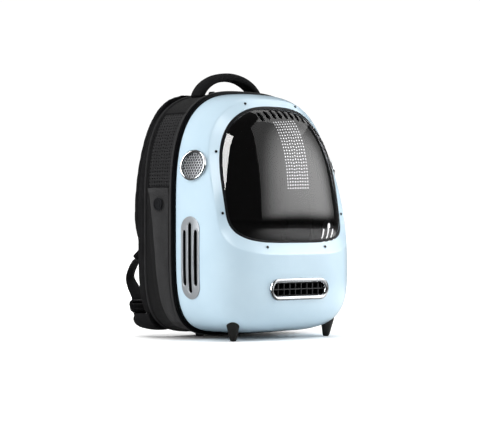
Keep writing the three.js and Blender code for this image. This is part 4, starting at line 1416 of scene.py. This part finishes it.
def makeBindings():  # folded tape sewn round each net
    b, n = netBinding, netWindow
    fine = np.radians(np.linspace(n["from"] - b["past"], n["to"] + b["past"], 240))
    lengths = rimLengths(fine, b["outside"])
    tall, deep = lengths[-1], n["rear"] - n["front"] + b["wider"]
    half = [(0, 0.0), b["lip"], (b["round"], b["thick"])]
    profile = half + [(b["wide"] - inward, high) for inward, high in reversed(half)]
    ring = ringFrom("netBindingLeft", b["around"], profile, lambda turn, inward: roundedBox(
        deep - 2 * inward, tall - 2 * inward, max(b["corner"] - inward, 0.5), turn))
    flat = getPoints(ring) / mm
    angle = np.interp(flat[:, 1] + tall / 2, lengths, fine)
    x, z = rimPoint(angle, b["grow"] + flat[:, 2])
    setPoints(ring, toFrame(x, flat[:, 0] + (n["front"] + n["rear"]) / 2, z))
    tidyMesh(ring)
    finishPair(ring, "netBinding", "pad", "grey_fabric", smooth=50)


makeTrim()
makeZip()
makeFabricWall()
makeNets()
makeBindings()
print("edge, wall and nets done")


# soft side panel below the net, with its snap

sidePocket = {"from": 165, "to": 232.5, "front": 15.5, "edge": 3.3, "wall": 1.8, "rearTop": 72, "rearLow": 50,
              "rearPower": 1.4, "hem": 0.9, "hemPart": 0.045, "round": 0.6, "cells": (40, 110), "spare": 1.04,
              "belly": 5.2, "bellyFrom": 0.12, "bellyRun": 0.83, "bellyPower": 0.7,
              "foldRun": 33, "foldSoft": 1.1, "foldPower": 0.6, "foldFlat": 0.85,
              "shadeFrom": 0.2, "shadeBehind": 0.5, "crumple": 0.6,
              "waves": ((7, 11, 0), (-4, 19, 0.7))}


def pocketFold(down):  # distance behind the rim of the fold where the panel turns in
    return sidePocket["rearTop"] - sidePocket["foldRun"] * down ** sidePocket["foldPower"]


def pocketSkin(down, across):  # distance outside the rim outline, and behind the rim
    p = sidePocket
    upright = np.sin(math.pi * (p["bellyFrom"] + p["bellyRun"] * down))
    full = upright * np.sin(math.pi * across) ** p["bellyPower"]
    hem = p["hem"] * (down < p["hemPart"])
    rear = p["rearTop"] + (p["rearLow"] - p["rearTop"]) * down ** p["rearPower"]
    back = p["front"] + (rear - p["front"]) * across
    turned = 0.5 + 0.5 * np.tanh((back - pocketFold(down)) / p["foldSoft"])
    first, second = (np.sin(across * a + down * b + c) for a, b, c in p["waves"])
    crumple = p["crumple"] * first * second * np.sin(math.pi * across)
    return p["edge"] + p["belly"] * full * (1 - p["foldFlat"] * turned) + hem + crumple * (1 - turned), back


def makePockets():
    p = sidePocket
    span = np.radians([p["from"], p["to"]])
    tall = rimLengths(np.linspace(span[0], span[1], 90), p["edge"])[-1]

    def spot(u, v):
        grow, back = pocketSkin(v, u)
        x, z = rimPoint(span[0] + (span[1] - span[0]) * v, grow)
        return toFrame(x, back, z)
    wide = p["rearTop"] - p["front"]
    pocket = wrapGrid("sidePocketLeft", *p["cells"], spot, (wide * mm, tall * mm))
    faceAwayFrom(pocket, bodyMiddle)
    thicken(pocket, p["wall"])
    roundEdges(pocket, p["round"], 2, 50)
    subdivide(pocket, 1)

    def behindFold(piece, face):
        u, v = piece.data.uv_layers.active.data[face.loop_start].uv
        down = min(max(v / (tall * mm), 0.0), 1.0)
        back = (face.center.y - shiftY) / mm
        return back > pocketFold(down) + p["shadeBehind"] and u > p["shadeFrom"] * wide * mm
    for piece in finishPair(pocket, "sidePocket", "grey", "grey_fabric", "side_pocket", smooth=60):
        refinish(piece, "tapeAndShade", lambda face: behindFold(piece, face))  # painted shade: darker cloth behind the fold, where the panel turns away from the light


pocketSnap = {"back": 36, "height": 229, "radius": 11, "thick": 2.2, "lift": 0.3, "sides": 64, "edge": 0.35,
              "rings": ((2.2, -0.9), (2.6, 0.7), (2.2, -0.5))}  # rim, groove, button and its dimple: in, up


def makeSnaps():
    s = pocketSnap
    deselectAll()
    bpy.ops.mesh.primitive_cylinder_add(vertices=s["sides"], radius=s["radius"] * mm, depth=s["thick"] * mm,
                                        location=(0, 0, s["thick"] / 2 * mm))
    snap = applyPlace()
    for inset, push in s["rings"]:
        top = max(snap.data.polygons,
                  key=lambda f: (f.normal.z > 0.9) * len(f.vertices) - f.center.xy.length * 1e3)
        topIndex = top.index
        pickFaces(snap, lambda face: face.index == topIndex)
        bpy.ops.mesh.inset(thickness=inset * mm)
        bpy.ops.mesh.extrude_region_move(TRANSFORM_OT_translate={"value": (0, 0, push * mm)})
        bpy.ops.object.mode_set(mode="OBJECT")
    roundEdges(snap, s["edge"], 3, 40)
    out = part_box("pocket_snap_left")[1][0] - s["lift"] * mm
    back, height = s["back"] * mm + shiftY, s["height"] * mm
    placed(snap, Matrix(((0, 0, -1, out), (-1, 0, 0, back), (0, 1, 0, height), (0, 0, 0, 1))))
    finishPair(snap, "pocketSnap", "grid", "buckle_plastic", "pocket_snap", smooth=40)


makePockets()
makeSnaps()
print("side panels done")


# padded back, straps and handle

padding = {"frames": 20, "soften": 4, "settings": {
    "quality": 5, "mass": 0.3, "tension_stiffness": 15, "compression_stiffness": 15, "shear_stiffness": 8,
    "bending_stiffness": 0.6, "use_pressure": True}}


def plump(piece, voxel, pressure, cap, held):  # voxel skin blown up as cloth, by the cap at most
    addModifier(piece, "REMESH", mode="VOXEL", voxel_size=voxel * mm, adaptivity=0)
    addModifier(piece, "SMOOTH", factor=0.5, iterations=padding["soften"])
    before = getPoints(piece)
    group = piece.vertex_groups.new(name="held")  # points that stay where they are
    group.add([v.index for v in piece.data.vertices if held(v.co)], 1.0, "REPLACE")
    pickOnly(piece)
    bpy.ops.object.modifier_add(type="CLOTH")
    cloth = piece.modifiers[-1]
    for key, value in padding["settings"].items():
        setattr(cloth.settings, key, value)
    cloth.settings.uniform_pressure_force = pressure
    cloth.settings.effector_weights.gravity = 0
    cloth.settings.vertex_group_mass = group.name
    cloth.collision_settings.use_collision = False
    scene = bpy.context.scene
    cloth.point_cache.frame_start, cloth.point_cache.frame_end = 1, padding["frames"]
    for step in range(1, padding["frames"] + 1):
        scene.frame_set(step)
    bpy.ops.object.modifier_apply(modifier=cloth.name)
    scene.frame_set(1)
    moved = getPoints(piece) - before
    setPoints(piece, before)
    outward = np.array([v.normal[:] for v in piece.data.vertices])
    reach = np.clip(np.einsum("ij,ij->i", moved, outward), 0, cap * mm)
    setPoints(piece, before + outward * reach[:, None])
    piece.vertex_groups.clear()


def pressIn(piece, depthAt):  # sewn lines: points pushed back along their normals
    normals = np.array([v.normal[:] for v in piece.data.vertices])
    points = getPoints(piece)
    layout = points / mm
    layout[:, 1] -= shiftY / mm
    setPoints(piece, points - normals * depthAt(layout, normals)[:, None] * mm)


def edgeSeam(values, fromEdge, facing):  # a seam along the edges, on the broad faces only
    broad = np.clip(1.4 - np.abs(facing) * 2, 0, 1)
    return values["seamDepth"] * broad * np.exp(-((fromEdge - values["seamIn"]) / values["seamWide"]) ** 2)


# outside the rim and behind it, from the flat part to the edge: behind the straps, and lower down
backPad = {"profile": [(-22, 105), (-8, 103), (-2, 97.5), (0.4, 91), (-0.2, 85.4), (-4.2, 83.8),
                       (-4.6, 78.8)],
           "fuller": [(-18, 106.5), (-3, 106), (2.2, 101), (3.2, 94), (1.4, 86.4), (-3.8, 83.8),
                      (-4.6, 78.8)],
           "flatPart": 0.8, "cells": 90, "voxel": 5, "pressure": 4, "cap": 5, "heldTo": 92,
           "seamIn": 27, "seamDepth": 3.2, "seamWide": 3.4, "seamScale": 150, "seamFade": 6,
           "channels": (120, 215, 310), "channelDepth": 2.6}


def makeBackPad():
    b = backPad
    table, fuller = np.array(b["profile"]), np.array(b["fuller"])
    marks = np.linspace(b["flatPart"], 1, len(table))

    def spot(u, v):
        angle, part = discFromSquare(u, v)
        low = np.clip(1.4 - 2.2 * np.sin(angle), 0, 1)  # fuller below the straps
        grow, back = (np.interp(part, marks, table[:, k]) * (1 - low)
                      + np.interp(part, marks, fuller[:, k]) * low for k in (0, 1))
        x, z = rimPoint(angle, grow)
        inner = np.minimum(part / b["flatPart"], 1)
        middle = outline["rim"]["widest"]
        return toFrame(x * inner, back, middle + (z - middle) * inner)
    pad = wrapGrid("backPad", b["cells"], b["cells"], spot)
    capHoles(pad)
    plump(pad, b["voxel"], b["pressure"], b["cap"], lambda c: c.y < b["heldTo"] * mm + shiftY)
    subdivide(pad, 1)

    def depthAt(p, normals):
        rear = np.clip(normals[:, 1] * 1.6 - 0.3, 0, 1)
        x, z = np.abs(p[:, 0]), p[:, 2]
        rim = grown(outline["rim"], -b["seamIn"])
        power, half = eggHalf(rim, z >= rim["widest"])
        reach = ((x / rim["halfWidth"]) ** power + (np.abs(z - rim["widest"]) / half) ** power) ** (1 / power)
        fromSeam = (reach - 1) * b["seamScale"]
        depth = b["seamDepth"] * np.exp(-(fromSeam / b["seamWide"]) ** 2)
        inside = np.clip(-fromSeam / b["seamFade"], 0, 1)
        for level in b["channels"]:
            channel = b["channelDepth"] * inside * np.exp(-((z - level) / b["seamWide"]) ** 2)
            depth = np.maximum(depth, channel)
        return depth * rear
    pressIn(pad, depthAt)
    finishPiece(pad, "pad", "padded_fabric", "back_panel", smooth=180)


def splinePoints(stations, steps):  # smooth line through the stations, with their other columns
    table = np.array(stations, float)
    padded = np.concatenate([2 * table[:1] - table[1:2], table, 2 * table[-1:] - table[-2:-1]])
    t = np.linspace(0, len(table) - 1, steps + 1)
    k = np.minimum(t.astype(int), len(table) - 2)
    f = (t - k)[:, None]
    p0, p1, p2, p3 = (padded[k + i] for i in range(4))
    bend, turn = 2 * p0 - 5 * p1 + 4 * p2 - p3, 3 * p1 - p0 - 3 * p2 + p3
    return 0.5 * (2 * p1 + (p2 - p0) * f + bend * f ** 2 + turn * f ** 3)


def makeStrip(name, line, across, sides, power):  # strip with a rounded section; columns x y z wide thick
    across = np.broadcast_to(np.asarray(across, float), line[:, :3].shape)
    through = np.cross(np.gradient(line[:, :3], axis=0), across)
    through = through / np.linalg.norm(through, axis=1, keepdims=True)
    steps = len(line) - 1

    def spot(u, v):
        i = np.rint(u * steps).astype(int)
        angle = 2 * math.pi * v
        side = np.sign(np.cos(angle)) * np.abs(np.cos(angle)) ** power
        rise = np.sign(np.sin(angle)) * np.abs(np.sin(angle)) ** power
        points = (line[i, :3] + across[i] * (side * line[i, 3] / 2)[:, None]
                  + through[i] * (rise * line[i, 4] / 2)[:, None])
        return toFrame(points[:, 0], points[:, 1], points[:, 2])
    size = (pathLengths(line[:, :3])[-1] * mm, 2 * line[:, 3].mean() * mm)
    piece = wrapGrid(name, steps, sides, spot, size)
    capHoles(piece)
    return piece


shoulderStrap = {"stations": [  # x, y, z, wide, thick
    (-46, 95, 420.5, 44, 5), (-52, 106, 418, 47, 6), (-61, 117, 410, 52, 9.5), (-72, 128, 392, 56, 13),
    (-84, 139, 356, 58, 15), (-94, 147, 305, 58, 15), (-101, 149, 250, 58, 15), (-108, 144.5, 200, 54, 14.5),
    (-114, 132, 158, 44, 11)], "smaller": 0.2, "steps": 64, "sides": 24, "power": 0.55,
    "voxel": 3.6, "pressure": 4, "cap": 2.2, "seamIn": 6.5, "seamDepth": 1.3, "seamWide": 1.8}


def makeStraps():
    s = shoulderStrap
    line = splinePoints(s["stations"], s["steps"])
    line[:, 3:] -= s["smaller"]
    strap = makeStrip("shoulderStrapLeft", line, (1, 0, 0), s["sides"], s["power"])
    top, foot = line[2, 2] * mm, line[-3, 2] * mm
    plump(strap, s["voxel"], s["pressure"], s["cap"], lambda c: c.z > top or c.z < foot)
    subdivide(strap, 1)

    def depthAt(p, normals):
        centre = np.interp(-p[:, 2], -line[:, 2], line[:, 0])
        half = np.interp(-p[:, 2], -line[:, 2], line[:, 3]) / 2
        return edgeSeam(s, half - np.abs(p[:, 0] - centre), normals[:, 0])
    pressIn(strap, depthAt)
    for piece in finishPair(strap, "shoulderStrap", "pad", "padded_fabric", "shoulder_strap", smooth=180):
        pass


topHandle = {"back": 55, "span": 71, "foot": 404, "rise": 49.5, "wide": 29.5, "thick": 14.6, "fromTurn": 12.5,
             "steps": 72, "sides": 22, "power": 0.6, "voxel": 2.6, "pressure": 4, "cap": 1.4,
             "heldFrom": 0.062, "seamIn": 5, "seamDepth": 0.8, "seamWide": 1.3}


def makeHandle():
    h = topHandle
    turns = np.radians(np.linspace(h["fromTurn"], 180 - h["fromTurn"], h["steps"]))
    back, wide, thick = (np.full_like(turns, h[key]) for key in ("back", "wide", "thick"))
    x, z = -h["span"] * np.cos(turns), h["foot"] + h["rise"] * np.sin(turns)
    line = np.stack([x, back, z, wide, thick], axis=-1)
    loop = makeStrip("topHandle", line, (0, 1, 0), h["sides"], h["power"])
    plump(loop, h["voxel"], h["pressure"], h["cap"], lambda c: abs(c.x) > h["heldFrom"])
    subdivide(loop, 1)

    def depthAt(p, normals):
        return edgeSeam(h, h["wide"] / 2 - np.abs(p[:, 1] - h["back"]), normals[:, 1])
    pressIn(loop, depthAt)
    finishPiece(loop, "pad", "padded_fabric", "top_handle", smooth=180)


edgeCord = {"around": 240, "sides": 12, "radius": 2.8, "outside": 0.6, "back": 80.6}


def makeEdgeCord():
    e = edgeCord
    turns = [2 * math.pi * i / e["sides"] for i in range(e["sides"])]
    radius = e["radius"]
    profile = [(e["outside"] + radius * math.sin(t), e["back"] + radius * math.cos(t)) for t in turns]
    cord = ridgeRing("backPiping", e["around"], profile)
    finishPiece(cord, "net", "trim_plastic", "back_piping", smooth=60)


makeEdgeCord()
makeBackPad()
makeStraps()
makeHandle()
print("padded pieces done")


# webbing, frames and tongues

adjuster = {"middle": (-119, 145, 145), "lean": 0.85, "turn": 20, "over": 4.4}
buckle = {"middle": (-131, 139, 52), "lean": -0.75, "turn": -25, "over": -4.9}
frameEdge = 1.1
strapBand = {"wide": 25, "inFrame": 22.4, "thick": 2.2, "steps": 200, "sides": 20, "power": 0.3,
             "loop": [  # x, y, z, turn about the upright
                 (-122, 156, 132, 20), (-124, 165, 120, 19), (-126, 170.5, 102, 17), (-125.5, 161, 84, -8),
                 (-124.5, 149, 66.5, -25)],
             "start": (-113.8, 131, 159.5, 14), "end": (-138.2, 126.3, 35.8, -25),
             "woven": [  # up the frame, and out of it as parts of its clearance
                 (11, 1), (5.3, 0.05), (0, -1), (-5.3, 0.05), (-11, 1)]}


def throughFrame(f):  # the band passes over the end bars and under the middle one
    turn, lean = math.radians(f["turn"]), math.pi / 2 + f["lean"]
    swing = Matrix.Rotation(turn, 3, "Z") @ Matrix.Rotation(lean, 3, "X")
    steps = [swing @ Vector((0, up, out * f["over"])) for up, out in strapBand["woven"]]
    places = [Vector(f["middle"]) + step for step in steps]
    return [(*place, strapBand["inFrame"], f["turn"]) for place in places]


def makeBands():
    s = strapBand
    loop = [(x, y, z, s["wide"], turn) for x, y, z, turn in s["loop"]]
    start, end = ((*s[key][:3], s["inFrame"], s[key][3]) for key in ("start", "end"))
    line = splinePoints([start, *throughFrame(adjuster), *loop, *throughFrame(buckle), end], s["steps"])
    turns = np.radians(line[:, 4])
    across = np.stack([np.cos(turns), np.sin(turns), np.zeros_like(turns)], axis=-1)
    line[:, 4] = s["thick"]
    band = makeStrip("strapBandLeft", line, across, s["sides"], s["power"])
    finishPair(band, "strapBand", "band", "webbing_fabric", "strap_webbing", smooth=50)


def makeFrames():
    for node, name in (("strap_adjuster", "strapAdjuster"), ("strap_buckle", "strapBuckle")):
        for side in ("left", "right"):
            piece = refineNode(f"{node}_{side}", name + side.title(), frameEdge)
            finishPiece(piece, "buckle", "buckle_plastic", f"{node}_{side}", smooth=45)


strapWing = {"from": 227.8, "to": 241, "front": 84, "upper": 108, "middle": 140, "lower": 88, "round": 0.42,
             "inside": 1.8, "thick": 5.4, "swell": 3.4, "swellPower": 0.6, "swellFrom": 0.12, "edge": 2.0,
             "tuck": 5, "tuckPower": 5, "cells": 36, "flat": (0.055, 0.056)}


def wingRear(u):  # rear edge of the tongue from its upper to its lower corner
    w = strapWing
    corner = w["upper"] + (w["lower"] - w["upper"]) * u
    return corner + (w["middle"] - corner) * np.abs(np.sin(math.pi * u)) ** w["round"]


def wingSkin(u, v):
    w = strapWing
    along = np.sin(math.pi * np.clip(w["swellFrom"] + (1 - w["swellFrom"]) * v, 0, 1))
    swell = w["swell"] * (np.abs(np.sin(math.pi * u)) * along) ** w["swellPower"]
    grow = w["inside"] + w["thick"] + swell - w["tuck"] * u ** w["tuckPower"]
    x, z = rimPoint(np.radians(w["from"] + (w["to"] - w["from"]) * u), grow)
    return toFrame(x, w["front"] + (wingRear(u) - w["front"]) * v, z)


def makeWings():
    w = strapWing
    wing = wrapGrid("strapWingLeft", w["cells"], w["cells"], wingSkin, w["flat"])
    faceAwayFrom(wing, bodyMiddle)
    thicken(wing, w["thick"])
    roundEdges(wing, w["edge"], 4, 50)
    for piece in finishPair(wing, "strapWing", "pad", "grey_fabric", "strap_wing", smooth=60):
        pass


zipSlider = {"body": (7.4, 12, 3.2), "tab": (4.6, 11, 1.3), "tabRise": 4.2, "tabBack": 1.2, "edge": 0.5}


def makeSlider():
    z = zipSlider
    low, high = (Vector(corner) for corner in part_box("zip_slider"))
    middle = (low + high) / 2
    parts = []
    for size, rise, shift in ((z["body"], z["body"][2] / 2, 0), (z["tab"], z["tabRise"], z["tabBack"])):
        bpy.ops.mesh.primitive_cube_add(size=1, location=(middle.x, middle.y + shift * mm, low.z + rise * mm))
        part = bpy.context.object
        part.scale = tuple(s * mm for s in size)
        applyPlace()
        roundEdges(part, z["edge"], 3)
        parts.append(part)
    slider = joinPieces("zipSlider", parts)
    finishPiece(slider, "buckle", "buckle_plastic", "zip_slider", smooth=40)


makeBands()
makeFrames()
makeWings()
makeSlider()
print("webbing, frames and tongues done")


# sewing

stitch = {"long": 3.2, "gap": 1.6, "radius": 0.42, "sides": 6, "edge": 0.2,
          "hemBelow": 0.018, "hemLift": 0.1, "hemFrom": 0.06, "wingFrom": 0.12, "wingIn": 6}


def stitchRow(name, path, base):  # short threads along a line of frame points
    lengths = pathLengths(path)
    long = stitch["long"] * mm
    step = (stitch["long"] + stitch["gap"]) * mm
    rows = []
    for start in np.arange(0, lengths[-1] - long, step):
        tail, head = (Vector(point) for point in pathPoints(path, np.array([start, start + long])))
        place = (head - tail).to_track_quat("Z", "Y").to_matrix().to_4x4()
        place.translation = (tail + head) / 2
        rows.append(copyPiece(base, "thread", place))
    return joinPieces(name, rows)


def makeSewing():
    s, p = stitch, sidePocket
    deselectAll()
    bpy.ops.mesh.primitive_cylinder_add(vertices=s["sides"], radius=s["radius"] * mm, depth=s["long"] * mm)
    base = applyPlace()
    roundEdges(base, s["edge"], 1)
    across = np.linspace(s["hemFrom"], 1 - s["hemFrom"], 40)
    down = p["hemPart"] + s["hemBelow"]
    grow, back = pocketSkin(np.full_like(across, down), across)
    angle = np.radians(p["from"] + (p["to"] - p["from"]) * down)
    x, z = rimPoint(np.full_like(across, angle), grow + s["hemLift"])
    hem = stitchRow("hemStitch", toFrame(x, back, z), base)
    finishPair(hem, "hemStitch", "thread", "webbing_fabric", smooth=60)
    u = np.linspace(s["wingFrom"], 1 - s["wingFrom"], 60)
    path = wingSkin(u, 1 - s["wingIn"] / (wingRear(u) - strapWing["front"]))
    edge = stitchRow("wingStitch", path, base)
    finishPair(edge, "wingStitch", "thread", "webbing_fabric", smooth=60)
    dropPiece(base)


makeSewing()
print("sewing done")


def linkPanels():  # the pane's crescent and the shell's ridge light come from different panels
    for lamp, pieces in studio["linked"].items():
        only = bpy.data.collections.new(lamp + "Pieces")
        for piece in pieces:
            only.objects.link(bpy.data.objects[piece])
        bpy.data.objects[lamp].light_linking.receiver_collection = only


linkPanels()
